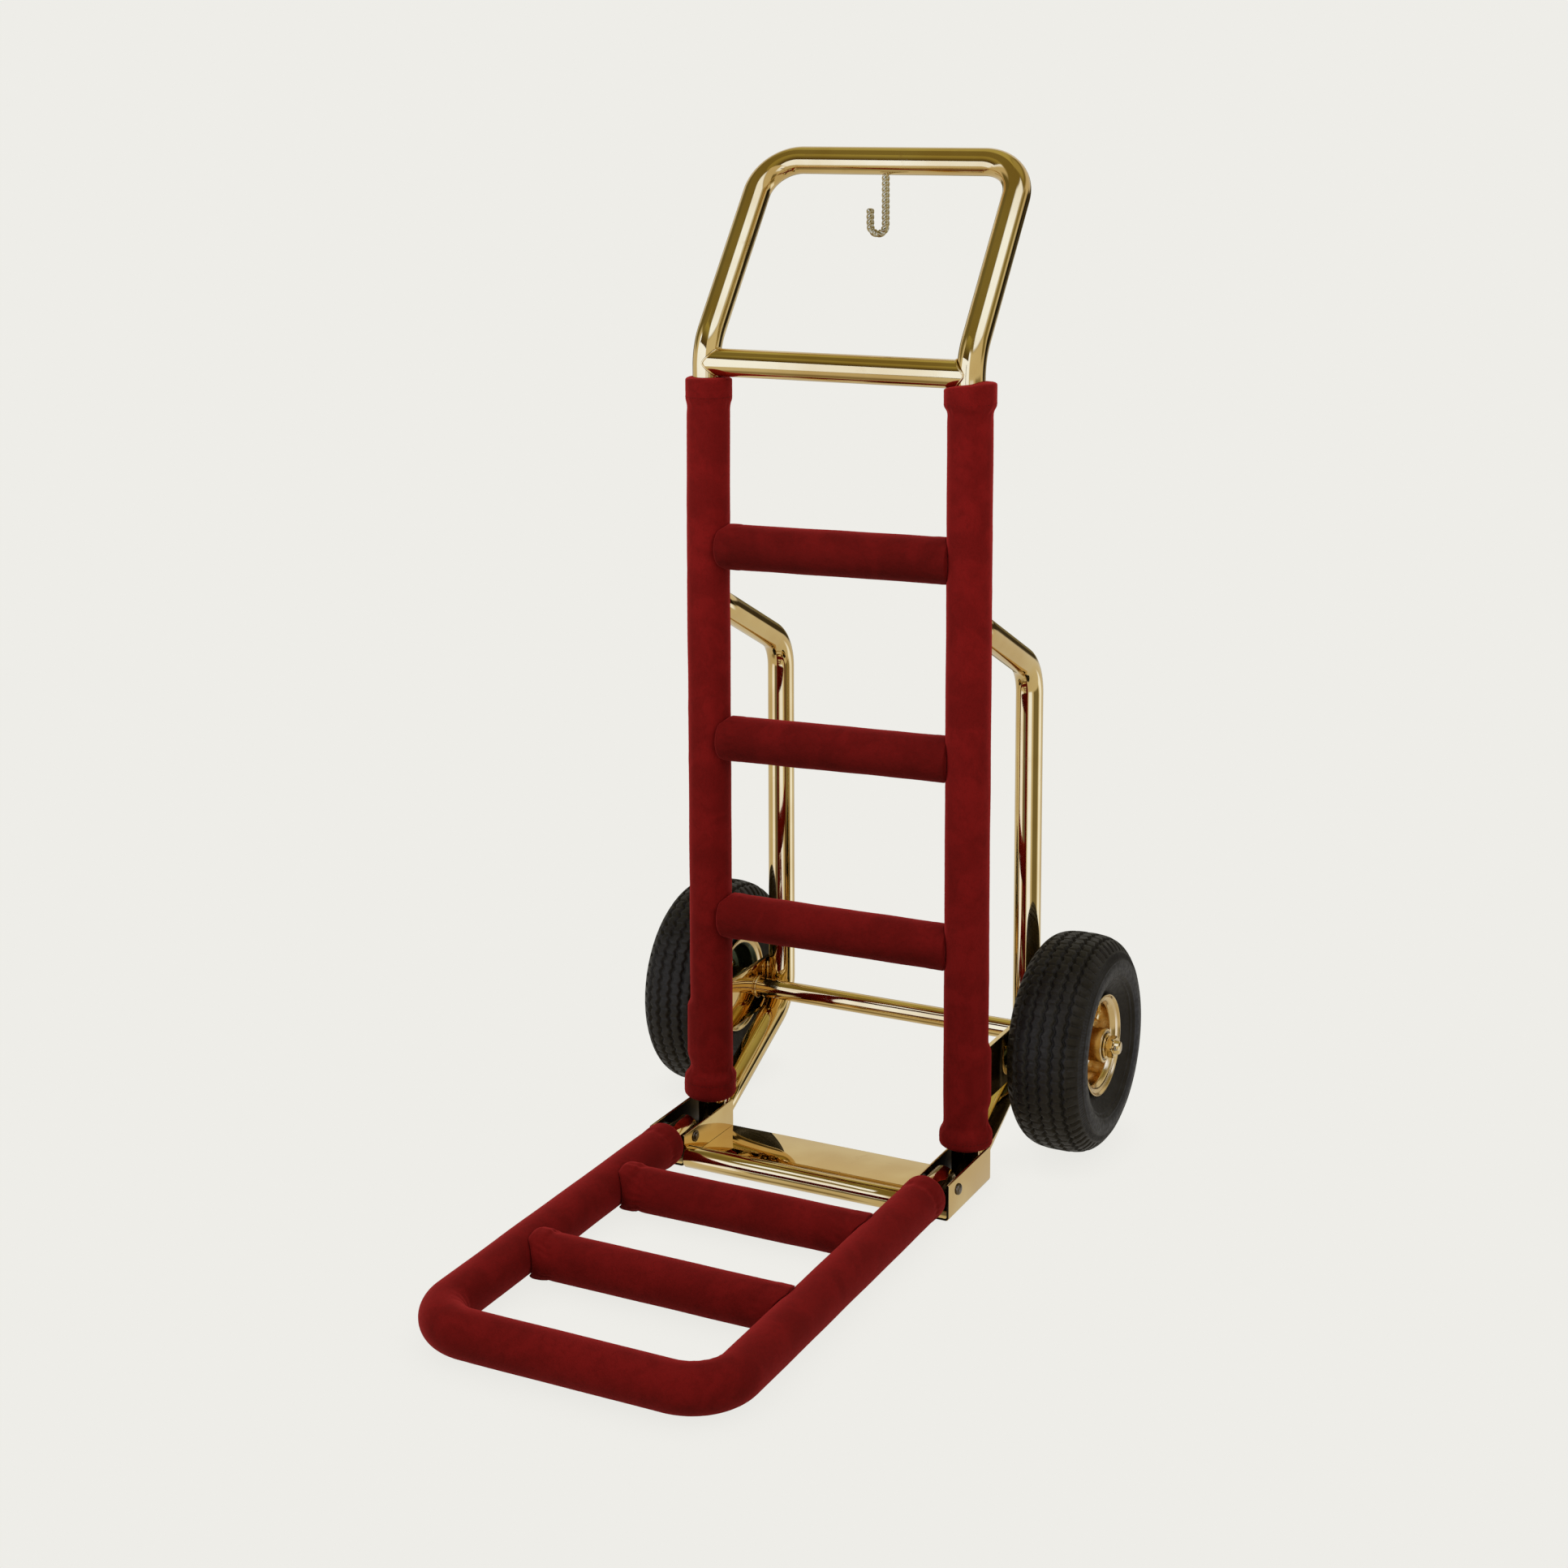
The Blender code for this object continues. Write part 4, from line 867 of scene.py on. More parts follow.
        # the right hem is held down by the crossbar on its inner side
        deg = np.degrees(np.abs((TH - math.pi + math.pi) % (2 * math.pi) - math.pi))
        rise = np.interp(deg, [0, 15, 27, 60, 116, 153, 180], [-0.0080, -0.0062, -0.0042, -0.0018, 0.0, 0.0022, 0.0026])
        P3[..., 2] += rise * (1 - smooth(top, 0.0, 0.034))
        Gi[1, :, 2] += rise[0]
    sleeve_mesh("upright_cover_" + side, P3, Gi, VELVET, "frame", ["upright_sleeve_" + side])
    # stitches: along the seam, and round the hems
    zs = np.arange(SLEEVE_LO + 0.040, SLEEVE_HI - 0.038, 0.0055)
    nrm = np.array([math.cos(t_seam), math.sin(t_seam), 0])
    tang = np.array([-math.sin(t_seam), math.cos(t_seam), 0])
    pts = [np.array([sgn * HALF_W + np.interp(z1, zl, dx), 0, z1]) + nrm * (SLEEVE_R + slack - 0.0005) for z1 in zs]
    stitches("seam_stitches_" + side, pts, [tang + np.array([0, 0, 0.5])] * len(pts), [nrm] * len(pts), 0.0042,
             0.00042, "frame")
    tt = np.linspace(0, 2 * np.pi, 44, endpoint=False)
    nn = [np.array([math.cos(t), math.sin(t), 0]) for t in tt]
    for tag, zh, rr in (("low", SLEEVE_LO + low_a - 0.004, low_r), ("high", SLEEVE_HI - 0.0225, high_r)):
        cx0 = sgn * HALF_W + np.interp(zh, zl, dx)
        pts = [np.array([cx0, 0, zh]) + n * (rr - 0.0001) for n in nn]
        if sgn > 0 and tag == "high":
            k = 1 - smooth(np.array(0.0225), 0.0, 0.034)
            pts = [p + np.array([0, 0, k * np.interp(abs((math.degrees(t) - 180 + 180) % 360 - 180),
                                                     [0, 15, 27, 60, 116, 153, 180],
                                                     [-0.0080, -0.0062, -0.0042, -0.0018, 0.0, 0.0022, 0.0026])])
                   for p, t in zip(pts, tt)]
        stitches("hem_stitches_%s_%s" % (tag, side), pts, [np.array([-n[1], n[0], 0]) for n in nn], nn, 0.0028,
                 0.00026, "frame")


def bar_sleeve(name, y0, z0, r, r_post, half, flat, material, body, replaces, seed, cuffs, tilt=0.0, toe=False,
               gather=0.0004, flats=None, lips=(0.0058, 0.0058)):
    """A sleeve over a crossbar between two posts.

    Its ends sit against the posts: cut flat at the distance "flat" from the post's axis, and hollowed
    where they would meet the post.  cuffs = (bulge at the -X end, bulge at the +X end); flats and
    lips set the two ends apart.
    """
    sides = SIDES
    th = np.linspace(0, 2 * np.pi, sides, endpoint=False)[None, :]
    flats = flats or (flat, flat)
    run = half - sum(flats) / 2
    d = np.concatenate([[0, 0.0005, 0.0011, 0.0019, 0.0030, 0.0044], np.arange(0.0060, 0.0520, 0.0018)])
    mid = np.linspace(0.0528, run * 2 - 0.0528, 84)
    s = np.concatenate([d, mid, (run * 2 - d)[::-1]])[:, None]
    da, db = s, 2 * run - s
    dist = np.minimum(da, db)
    R = np.full((len(s), sides), r)
    for dd, bulge, sd in ((da, cuffs[0], 0), (db, cuffs[1], 5)):
        R += bulge * (smooth(dd, 0.0, 0.006) - smooth(dd, 0.0165, 0.0215)) * (dd < 0.05)
        R += -0.28 * bulge * np.exp(-((dd - 0.0245) / 0.0040) ** 2)
        ph = ring_noise(s, th, r, (0.03, 0.08), 1.3, 6, seed + sd)
        k = gather * (0.35 + 0.65 * min(1.0, bulge / 0.002))
        R += k * np.exp(-((dd - 0.0190) / 0.0085) ** 2) * np.cos(15 * th + ph * 2.0)
        R += k * 0.55 * np.exp(-((dd - 0.006) / 0.006) ** 2) * np.cos(9 * th + ph * 1.2 + 1.0)
    R += ring_noise(s, th, r, (0.05, 0.26), 0.00018, 14, seed + 1)
    R += ring_noise(s, th, r, (0.004, 0.010), 0.00004, 26, seed + 2)
    t_seam = math.pi if toe else math.pi * 0.86
    ds = ((th - t_seam + math.pi) % (2 * math.pi) - math.pi) * r
    R += -0.0008 * np.exp(-(ds / 0.0012) ** 2) + 0.0004 * np.exp(-((np.abs(ds) - 0.003) / 0.0018) ** 2)
    R = BORE_R + 0.0015 + (R - BORE_R - 0.0015) * np.minimum(lip(da + 0.0003, lips[0]), lip(db + 0.0003, lips[1]))

    def place(Rr, t):
        # th = 0 is the front (-Y) for a rung and the top for a toe bar
        if toe:
            y, zz1 = Rr * np.sin(th), Rr * np.cos(th)
            off = zz1
        else:
            y, zz1 = -Rr * np.cos(th), -Rr * np.sin(th)
            off = y
        touch = np.sqrt(np.maximum((r_post + 0.0004) ** 2 - off ** 2, 0.0))
        X = np.where(t < 0, t * (half - np.maximum(touch, flats[0])), t * (half - np.maximum(touch, flats[1])))
        return np.stack([X, y0 + y, z0 + zz1 + tilt * X / half], 2)
    G = place(R, s / run - 1.0)
    Gi = np.concatenate([place(np.full((1, sides), BORE_R), -1.0), place(np.full((1, sides), BORE_R), 1.0)])
    ob = sleeve_mesh(name, G, Gi, material, body, replaces)
    xs = np.arange(-half + 0.046, half - 0.045, 0.0055)
    if toe:
        n = np.array([0, math.sin(t_seam), math.cos(t_seam)])
    else:
        n = np.array([0, -math.cos(t_seam), -math.sin(t_seam)])
    tg = np.cross(n, np.array([1.0, 0, 0]))
    pts = [np.array([x, y0, z0 + tilt * x / half]) + n * (r - 0.0005) for x in xs]
    stitches(name + "_stitches", pts, [tg + np.array([0.5, 0, 0])] * len(pts), [n] * len(pts), 0.0042, 0.00042, body)
    return ob


RUNG_FLAT = HALF_W - box("rung_sleeve_top")[1][0]
for i, (level, z) in enumerate(RUNG_Z.items()):
    bar_sleeve("rung_cover_" + level, 0.0, z, RUNG_R + 0.0004, SLEEVE_R, HALF_W, RUNG_FLAT, VELVET_R, "frame",
               ["rung_sleeve_" + level], 40 + 7 * i, (0.0004, 0.0001), lips=(0.0050, 0.0024),
               tilt={"top": 0.0030, "middle": 0.0038, "bottom": 0.0012}[level])

# --------------------------------------------------------------------- toe frame
TOE_FRONT = box("toe_sleeve")[0][1] + SLEEVE_R
TOE_END = box("toe_sleeve")[1][1]
TOE_TAIL = box("toe_tube")[1][1]
TOE_CORNER = 0.050
toe_path = fillet_path([(-HALF_W, TOE_TAIL, TOE_Z), (-HALF_W, TOE_FRONT, TOE_Z), (HALF_W, TOE_FRONT, TOE_Z),
                        (HALF_W, TOE_TAIL, TOE_Z)], [TOE_CORNER, TOE_CORNER], steps=24, max_run=0.05)
hollow_tube("toe_hoop", toe_path, TUBE_R, WALL, (1, 0, 0), 56, BRASS, "toe_frame", ["toe_tube"])

path = fillet_path([(-HALF_W, TOE_END, TOE_Z), (-HALF_W, TOE_FRONT, TOE_Z), (HALF_W, TOE_FRONT, TOE_Z),
                    (HALF_W, TOE_END, TOE_Z)], [TOE_CORNER, TOE_CORNER], steps=40)
P, s, L = resample(path, 0.0026)
fine = np.array([0, 0.0006, 0.0014, 0.0024, 0.0038, 0.0056])
s_all = np.concatenate([fine, s[3:-3], (L - fine)[::-1]])
P = np.stack([np.interp(s_all, s, P[:, k]) for k in range(3)], 1)
sc = s_all[:, None]
R = np.full((len(P), SIDES), SLEEVE_R)
R += ring_noise(sc, TH, SLEEVE_R, (0.06, 0.30), 0.00018, 14, 71)
R += ring_noise(sc, TH, SLEEVE_R, (0.004, 0.010), 0.00004, 26, 72)
# compression folds on the inside of both corners, and the hems at both ends
run = abs(TOE_FRONT - TOE_END) - TOE_CORNER
arc = TOE_CORNER * math.pi / 2
for k, c in enumerate((run + arc / 2, L - run - arc / 2)):
    w = np.exp(-((sc - c) / (arc * 0.42)) ** 2)
    # th = 0 points to +X on the first leg and is carried round the bend, so inside is th = 0 all along
    inner = np.clip(np.cos(TH), 0, 1) ** 1.5
    R += w * inner * 0.0004 * np.cos(2 * np.pi * (sc - c) / 0.013 + 0.8 * np.sin(2 * TH))
end = np.minimum(sc, L - sc)
R += 0.0006 * (1 - smooth(end, 0.018, 0.026)) - 0.0006 * np.exp(-((end - 0.028) / 0.004) ** 2)
R += 0.0004 * np.exp(-((end - 0.026) / 0.008) ** 2) * np.cos(16 * TH + 3 * np.sin(2 * TH))
ds = ((TH - 1.5 * math.pi + math.pi) % (2 * math.pi) - math.pi) * SLEEVE_R
R += -0.0008 * np.exp(-(ds / 0.0012) ** 2) + 0.0004 * np.exp(-((np.abs(ds) - 0.003) / 0.0018) ** 2)
R = BORE_R + 0.0005 + (R - BORE_R - 0.0005) * lip(end, 0.0075)
G = sweep_grid(P, R, (1, 0, 0), SIDES)
Gi = sweep_grid(np.array(P)[::4] if (len(P) - 1) % 4 == 0 else np.vstack([P[::4], P[-1:]]), BORE_R, (1, 0, 0), SIDES)
sleeve_mesh("toe_cover", G, Gi, VELVET_T, "toe_frame", ["toe_sleeve"])
pp, tt_, nn_, bb_ = transport(resample(path, 0.0055)[0], (1, 0, 0))
stitches("toe_cover_stitches", [p - b * (SLEEVE_R - 0.0004) for p, b in zip(pp[4:-4], bb_[4:-4])],
         [np.cross(t, b) + 0.5 * t for t, b in zip(tt_[4:-4], bb_[4:-4])], [-b for b in bb_[4:-4]], 0.0042, 0.00042,
         "toe_frame")

for i, place in enumerate(("rear", "front")):
    lo, hi = box("toe_crossbar_sleeve_" + place)
    y = (lo[1] + hi[1]) / 2
    bar_sleeve("toe_bar_cover_" + place, y, TOE_Z, SLEEVE_R, SLEEVE_R, HALF_W, HALF_W - hi[0], VELVET_T,
               "toe_frame", ["toe_crossbar_sleeve_" + place], 90 + 9 * i, (0.0018, 0.0003), toe=True, gather=0.0005,
               flats=(0.0142, 0.0120), lips=(0.0020, 0.0022))

# ------------------------------------------------------------------- toe hinges
for sgn, side in ((-1, "left"), (1, "right")):
    lo, hi = box("hinge_pin_" + side)
    py, pz = (lo[1] + hi[1]) / 2, (lo[2] + hi[2]) / 2
    head_r = (hi[2] - lo[2]) / 2
    x_head = hi[0] if sgn > 0 else lo[0]
    x_tail = lo[0] if sgn > 0 else hi[0]
    s = sgn
    head = [(x_tail, 0.0012), (x_tail, 0.0034), (x_tail + s * 0.0007, 0.0040), (x_head - s * 0.0036, 0.0040),
            (x_head - s * 0.0036, head_r)]
    for a in np.linspace(0.0, math.pi / 2, 9)[1:]:
        head.append((x_head - s * 0.0030 + s * 0.0030 * math.sin(a), max(head_r * math.cos(a), 0.0012)))
    lathe_x("pivot_pin_" + side, head, (0, py, pz), 48, DARK_STEEL, "frame", ["hinge_pin_" + side],
            closed=False, sharp=35)
    lo, hi = box("hinge_clip_" + side)
    r = (hi[2] - lo[2]) / 2
    pr = round2d([(lo[0], 0.0043), (hi[0], 0.0043), (hi[0], r), (lo[0], r)], [0, 0, 0.0005, 0.0005], 3)
    lathe_x("pivot_clip_" + side, pr, (0, py, pz), 48, DARK_STEEL, "frame", ["hinge_clip_" + side])
    for where in ("outer", "inner"):
        n = "hinge_washer_%s_%s" % (side, where)
        lo, hi = box(n)
        r = (hi[2] - lo[2]) / 2
        pr = round2d([(lo[0], 0.0044), (hi[0], 0.0044), (hi[0], r), (lo[0], r)], [0, 0, 0.0004, 0.0004], 3)
        lathe_x("pivot_washer_%s_%s" % (side, where), pr, (0, py, pz), 48, NYLON, "frame", [n])

# ------------------------------------------------------------------------ wheels


def catmull(pts, per):
    P = np.array(pts, float)
    P = np.vstack([2 * P[0] - P[1], P, 2 * P[-1] - P[-2]])
    out = []
    for i in range(1, len(P) - 2):
        for t in np.linspace(0, 1, per, endpoint=False):
            a, b, c, d = P[i - 1], P[i], P[i + 1], P[i + 2]
            out.append(0.5 * ((2 * b) + (-a + c) * t + (2 * a - 5 * b + 4 * c - d) * t * t
                              + (-a + 3 * b - 3 * c + d) * t ** 3))
    out.append(P[-2])
    return np.array(out)


HALF_OUT = [(0.0, 0.1258), (0.012, 0.1255), (0.024, 0.1236), (0.0330, 0.1194), (0.0400, 0.1122), (0.0444, 0.1030),
            (0.0468, 0.0950), (0.0462, 0.0872), (0.0430, 0.0794), (0.0388, 0.0724), (0.0350, 0.0662), (0.0324, 0.0622),
            (0.0314, 0.0610)]
half = catmull(HALF_OUT, 24)
ds = np.concatenate([[0], np.cumsum(np.linalg.norm(np.diff(half, axis=0), axis=1))])
HALF_LEN = ds[-1]
M_HALF = 78
tt = np.linspace(0, 1, M_HALF)
tt = tt * HALF_LEN
half = np.stack([np.interp(tt, ds, half[:, k]) for k in range(2)], 1)
prof = np.vstack([np.column_stack([-half[::-1, 0], half[::-1, 1]])[:-1], half])
arc_s = np.concatenate([-tt[::-1][:-1], tt])
tang = np.gradient(prof, axis=0)
tang /= np.linalg.norm(tang, axis=1)[:, None]
norm = np.column_stack([-tang[:, 1], tang[:, 0]])
PERIODS = 60
NA = PERIODS * 9


def tyre_mesh(name, centre, body, node, flip):
    phi = np.linspace(0, 2 * np.pi, NA, endpoint=False)
    ph = (phi * PERIODS / (2 * np.pi))[:, None]
    s = arc_s[None, :]

    def tri(x):
        return 2 * np.abs(2 * (x - np.floor(x + 0.5))) - 1
    h = np.zeros((NA, len(arc_s)))
    for k, sc0 in enumerate((-0.0285, -0.0145, 0.0, 0.0145, 0.0285)):
        c = sc0 + 0.0017 * tri(ph + 0.5 * (k % 2)) * (1 if k % 2 else -1)
        d = np.abs(s - c)
        h -= 0.0036 * (1 - smooth(d, 0.0011, 0.0023))
    # blocks cut into the tread ribs
    for k, (a0, b0) in enumerate(((-0.0270, -0.0160), (-0.0130, -0.0015), (0.0015, 0.0130), (0.0160, 0.0270))):
        x = ph + 0.25 * k
        d = np.abs(x - np.floor(x + 0.5)) * (2 * np.pi * 0.125 / PERIODS)
        win = smooth(s, a0, a0 + 0.001) * (1 - smooth(s, b0 - 0.001, b0))
        h -= 0.0009 * win * (1 - smooth(d, 0.0004, 0.0012))
    # shoulder lugs
    a = np.abs(s)
    x = ph * 1.0
    d = np.abs(x - np.floor(x + 0.5)) * (2 * np.pi * 0.115 / PERIODS)
    win = smooth(a, 0.0330, 0.0350) * (1 - smooth(a, 0.0450, 0.0475))
    h -= 0.0024 * win * (1 - smooth(d, 0.0013, 0.0026))
    # fine ribs on the sidewall's edge, a raised band, and a bead line
    x = ph * 3.0
    d = np.abs(x - np.floor(x + 0.5))
    win = smooth(a, 0.0490, 0.0500) * (1 - smooth(a, 0.0555, 0.0565))
    h += 0.0005 * win * (1 - smooth(d, 0.16, 0.30))
    h += 0.0007 * (np.exp(-((a - 0.0480) / 0.0007) ** 2) + np.exp(-((a - 0.0578) / 0.0006) ** 2)
                   + np.exp(-((a - 0.0760) / 0.0008) ** 2) + np.exp(-((a - 0.0825) / 0.0007) ** 2))
    h -= 0.0006 * smooth(a, 0.0790, 0.0800)
    r = np.random.RandomState(5)
    px = prof[None, :, 0] + norm[None, :, 0] * h
    pr = prof[None, :, 1] + norm[None, :, 1] * h
    inner = np.array([(0.0298, 0.0582), (0.0284, 0.0546), (0.0250, 0.0503), (0.0205, 0.0500), (0.0290, 0.0640),
                      (0.0400, 0.0800), (0.0395, 0.1010), (0.0270, 0.1150), (0.0, 0.1184)])
    inner = np.vstack([inner, np.column_stack([-inner[::-1, 0], inner[::-1, 1]])[1:]])
    px = np.hstack([px, np.repeat(inner[None, :, 0], NA, 0)])
    pr = np.hstack([pr, np.repeat(inner[None, :, 1], NA, 0)])
    V = np.stack([centre[0] + px, centre[1] + pr * np.cos(phi)[:, None], centre[2] + pr * np.sin(phi)[:, None]], 2)
    n, m = V.shape[:2]
    return make(name, V.reshape(-1, 3), grid_faces(n, m, True, True), RUBBER, body, [node])


RIM_PATH = [(0.0016, 0.0204), (0.0016, 0.0388), (0.0048, 0.0449), (0.0112, 0.0464), (0.0260, 0.0476),
            (0.0301, 0.0509), (0.0312, 0.0562), (0.0338, 0.0580)]
RIM_T = 0.0024


def sheet_section(path, t):
    P = np.array(round2d(path, [0, 0.005, 0.006, 0.006, 0.004, 0.004, 0.0022, 0], 7, closed=False))
    T = np.gradient(P, axis=0)
    T /= np.linalg.norm(T, axis=1)[:, None]
    Nn = np.column_stack([-T[:, 1], T[:, 0]])
    a, b = P + Nn * t / 2, P - Nn * t / 2
    out = [tuple(p) for p in a]
    e, te, ne = P[-1], T[-1], Nn[-1]
    for k in np.linspace(0, math.pi, 9)[1:-1]:
        out.append(tuple(e + ne * math.cos(k) * t / 2 + te * math.sin(k) * t / 2))
    out += [tuple(p) for p in b[::-1]]
    return out


for sgn, side in ((-1, "left"), (1, "right")):
    body = "wheel_" + side
    lo, hi = box("tyre_" + side)
    cx = (lo[0] + hi[0]) / 2
    C = np.array([cx, AXLE_Y, AXLE_Z])
    tyre_mesh("tyre_tread_" + side, C, body, "tyre_" + side, sgn)
    sec = sheet_section(RIM_PATH, RIM_T)
    for where, s in (("outer", sgn), ("inner", -sgn)):
        dish = lathe_x("rim_dish_%s_%s" % (where, side), [(s * x, r) for x, r in sec], C, 128, BRASS_RIM, body,
                       ["rim_%s_%s" % (where, side)], sharp=50)
        if where == "inner":                     # painted shade and dark reflection: the dish on the side that faces the cart gets dark greenish brass near the hub
            dish.data.materials.append(RIM_PAINTED_SHADE)
            for p in dish.data.polygons:
                c = p.center
                if math.hypot(c.y - AXLE_Y, c.z - AXLE_Z) < 0.0505:
                    p.material_index = 1
    lo, hi = box("hub_" + side)
    hr_, hl_ = (hi[2] - lo[2]) / 2, (hi[0] - lo[0]) / 2
    outl = [(-hl_, hr_), (-hl_, 0.0168), (-hl_ + 0.012, 0.0168), (-hl_ + 0.012, 0.0105), (hl_ - 0.012, 0.0105),
            (hl_ - 0.012, 0.0168), (hl_, 0.0168), (hl_, hr_)]
    outl = round2d(outl, [0.0011, 0.0004, 0.0004, 0, 0, 0.0004, 0.0004, 0.0011], 5)
    lathe_x("hub_barrel_" + side, outl, C, 96, BRASS_RIM, body, ["hub_" + side])
    for where, s in (("outer", sgn), ("inner", -sgn)):
        n = "bearing_%s_%s" % (where, side)
        lo, hi = box(n)
        r = (hi[2] - lo[2]) / 2
        xo, xi = (hi[0], lo[0]) if s > 0 else (lo[0], hi[0])
        d = s
        pr = [(xi, 0.0083), (xo, 0.0083), (xo, 0.0102), (xo - d * 0.0006, 0.0105), (xo - d * 0.0006, 0.0140),
              (xo, 0.0143), (xo, r), (xi, r)]
        lathe_x("ball_race_%s_%s" % (where, side), round2d(pr, 0.0003, 2), (0, AXLE_Y, AXLE_Z), 64, STEEL, body,
                [n], sharp=30)
    # rim bolts: hexagon heads outside, nuts inside
    for k in range(4):
        a = math.radians(22 + 90 * k)
        by_, bz_ = AXLE_Y + 0.0312 * math.cos(a), AXLE_Z + 0.0312 * math.sin(a)
        for where, s in (("outer", sgn), ("inner", -sgn)):
            x0 = cx + s * (0.0016 + RIM_T / 2)
            seg = 36
            aa = np.linspace(0, 2 * np.pi, seg, endpoint=False)
            kk = (aa % (np.pi / 3)) - np.pi / 6
            hx_ = 0.0050 / np.cos(kk)
            rows = []
            wr = np.full(seg, 0.0068)
            for x, rr in ((x0, wr), (x0 + s * 0.0010, wr - 0.0002), (x0 + s * 0.0011, hx_),
                          (x0 + s * 0.0042, hx_), (x0 + s * 0.0050, np.minimum(hx_, 0.0048)),
                          (x0 + s * 0.0050, np.full(seg, 0.0028)), (x0 + s * 0.0064, np.full(seg, 0.0026))):
                rows.append(np.stack([np.full(seg, x), by_ + rr * np.cos(aa), bz_ + rr * np.sin(aa)], 1))
            G = np.array(rows)
            f = grid_faces(len(G), seg)
            f.append(tuple(range(seg))[::-1])
            f.append(tuple((len(G) - 1) * seg + j for j in range(seg)))
            make("rim_bolt_%s_%s_%d" % (where, side, k + 1), G.reshape(-1, 3), f, BRASS_HW, body, sharp=25)
    # valve stem with a knurled cap
    lo, hi = box("valve_stem_" + side)
    va = math.radians(35.0)
    spoke = np.array([0.0, math.cos(va), math.sin(va)])
    vx = (lo[0] + hi[0]) / 2
    st = [(0.0325, 0.0024), (0.0330, 0.0036), (0.0345, 0.0041), (0.0420, 0.0041), (0.0424, 0.0030), (0.0450, 0.0030),
          (0.0455, 0.0036), (0.0475, 0.0040), (0.0640, 0.0040)]
    pathv = [np.array([vx, AXLE_Y, AXLE_Z]) + spoke * d for d, r in st]
    RR = np.array([r for d, r in st])[:, None] * np.ones((1, 36))
    kn = (np.array([1 if 0.0330 < d < 0.0422 else 0 for d, r in st])[:, None]
          * 0.00022 * np.sign(np.cos(12 * np.linspace(0, 2 * np.pi, 36, endpoint=False)))[None, :])
    solid_rod("valve_%s" % side, pathv, RR + kn, (1, 0, 0), 36, BRASS_HW, body, ["valve_stem_" + side], sharp=30)

# ------------------------------------------------------------------------- stage
PALE = (0.856, 0.847, 0.808)
sc = bpy.context.scene
sc.view_settings.view_transform = "Standard"
sc.view_settings.look = "None"

seg = 96
ring = [(14.0 * math.cos(2 * math.pi * k / seg), 14.0 * math.sin(2 * math.pi * k / seg), -0.0006) for k in range(seg)]
me = bpy.data.meshes.new("studio_floor")
me.from_pydata(ring, [], [tuple(range(seg))])
floor = bpy.data.objects.new("studio_floor", me)
sc.collection.objects.link(floor)
floor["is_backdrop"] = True
floor.visible_glossy = False
fm = bpy.data.materials.new("floor_pale")
fm.use_nodes = True
fm.node_tree.nodes.clear()
FN = Nodes(fm.node_tree)
fo = FN.new("ShaderNodeOutputMaterial")
lp = FN.new("ShaderNodeLightPath")
# painted contact shadow: the floor's glow to the camera is dimmed a little where the cart is close
ao = FN.new("ShaderNodeAmbientOcclusion")
ao.samples = 8
ao.inputs["Distance"].default_value = 0.05
shade = FN.maprange(ao.outputs["AO"], 0.0, 0.9, 0.93, 1.0, "LINEAR")
em = FN.new("ShaderNodeEmission", Color=(*PALE, 1.0))
FN.set(em, "Strength", shade)
df = FN.new("ShaderNodeBsdfDiffuse", Color=(0.72, 0.71, 0.68, 1.0))
mixs = FN.new("ShaderNodeMixShader")
FN.set(mixs, 0, lp.outputs["Is Camera Ray"])
fm.node_tree.links.new(df.outputs[0], mixs.inputs[1])
fm.node_tree.links.new(em.outputs[0], mixs.inputs[2])
fm.node_tree.links.new(mixs.outputs[0], fo.inputs[0])
me.materials.append(fm)

# world: pale to the camera, soft and even for diffuse light, and a room of soft boxes
# and dark panels for the polished brass to mirror
world = bpy.data.worlds.new("studio")
sc.world = world
world.use_nodes = True
world.node_tree.nodes.clear()
W = Nodes(world.node_tree)
wo = W.new("ShaderNodeOutputWorld")
wl = W.new("ShaderNodeLightPath")
wc = W.new("ShaderNodeTexCoord").outputs["Generated"]
sx = W.new("ShaderNodeSeparateXYZ", Vector=wc)
X_, Y_, Z_ = sx.outputs
az = W.math("MULTIPLY", W.math("ARCTAN2", X_, W.math("MULTIPLY", Y_, -1.0)), 180 / math.pi)
el = W.math("MULTIPLY", W.math("ARCSINE", Z_), 180 / math.pi)


def panel(col, az0, az1, el0, el1, colour, soft_a=5.0, soft_e=5.0):
    """One soft-edged panel of the surrounding room, given by its bearing and height in degrees."""
    m = None
    if az1 - az0 < 359:
        m = W.math("MULTIPLY", W.maprange(az, az0 - soft_a, az0 + soft_a),
                   W.maprange(az, az1 - soft_a, az1 + soft_a, 1.0, 0.0))
    e = W.math("MULTIPLY", W.maprange(el, el0 - soft_e, el0 + soft_e),
               W.maprange(el, el1 - soft_e, el1 + soft_e, 1.0, 0.0))
    m = e if m is None else W.math("MULTIPLY", m, e)
    return W.mix(m, col, colour)


OLIVE = (0.21, 0.18, 0.066)
env = W.mix(W.maprange(el, -90.0, 40.0), (0.58, 0.56, 0.52), (0.66, 0.645, 0.60))
env = panel(env, -180, 180, 36, 200, OLIVE, 0, 6)                        # dark ceiling
env = panel(env, -181, -112, 44, 200, (0.46, 0.44, 0.19), 14, 8)         # lighter part of it, behind
env = panel(env, 112, 181, 50, 200, (0.40, 0.38, 0.18), 14, 8)
env = panel(env, -181, -135, 20, 40, (0.70, 0.69, 0.66), 8, 6)
WHITE = (1.10, 1.40, 2.7)                                               # comes back from the brass as white
env = panel(env, 22, 97, 37, 68, WHITE, 5, 4)                            # overhead soft box, right
env = panel(env, -58, 6, -8, 35, WHITE, 4, 3)                            # tall soft box, front left
env = panel(env, 98, 116, 6, 33, (0.24, 0.21, 0.10), 4, 4)               # dark panels, right and behind
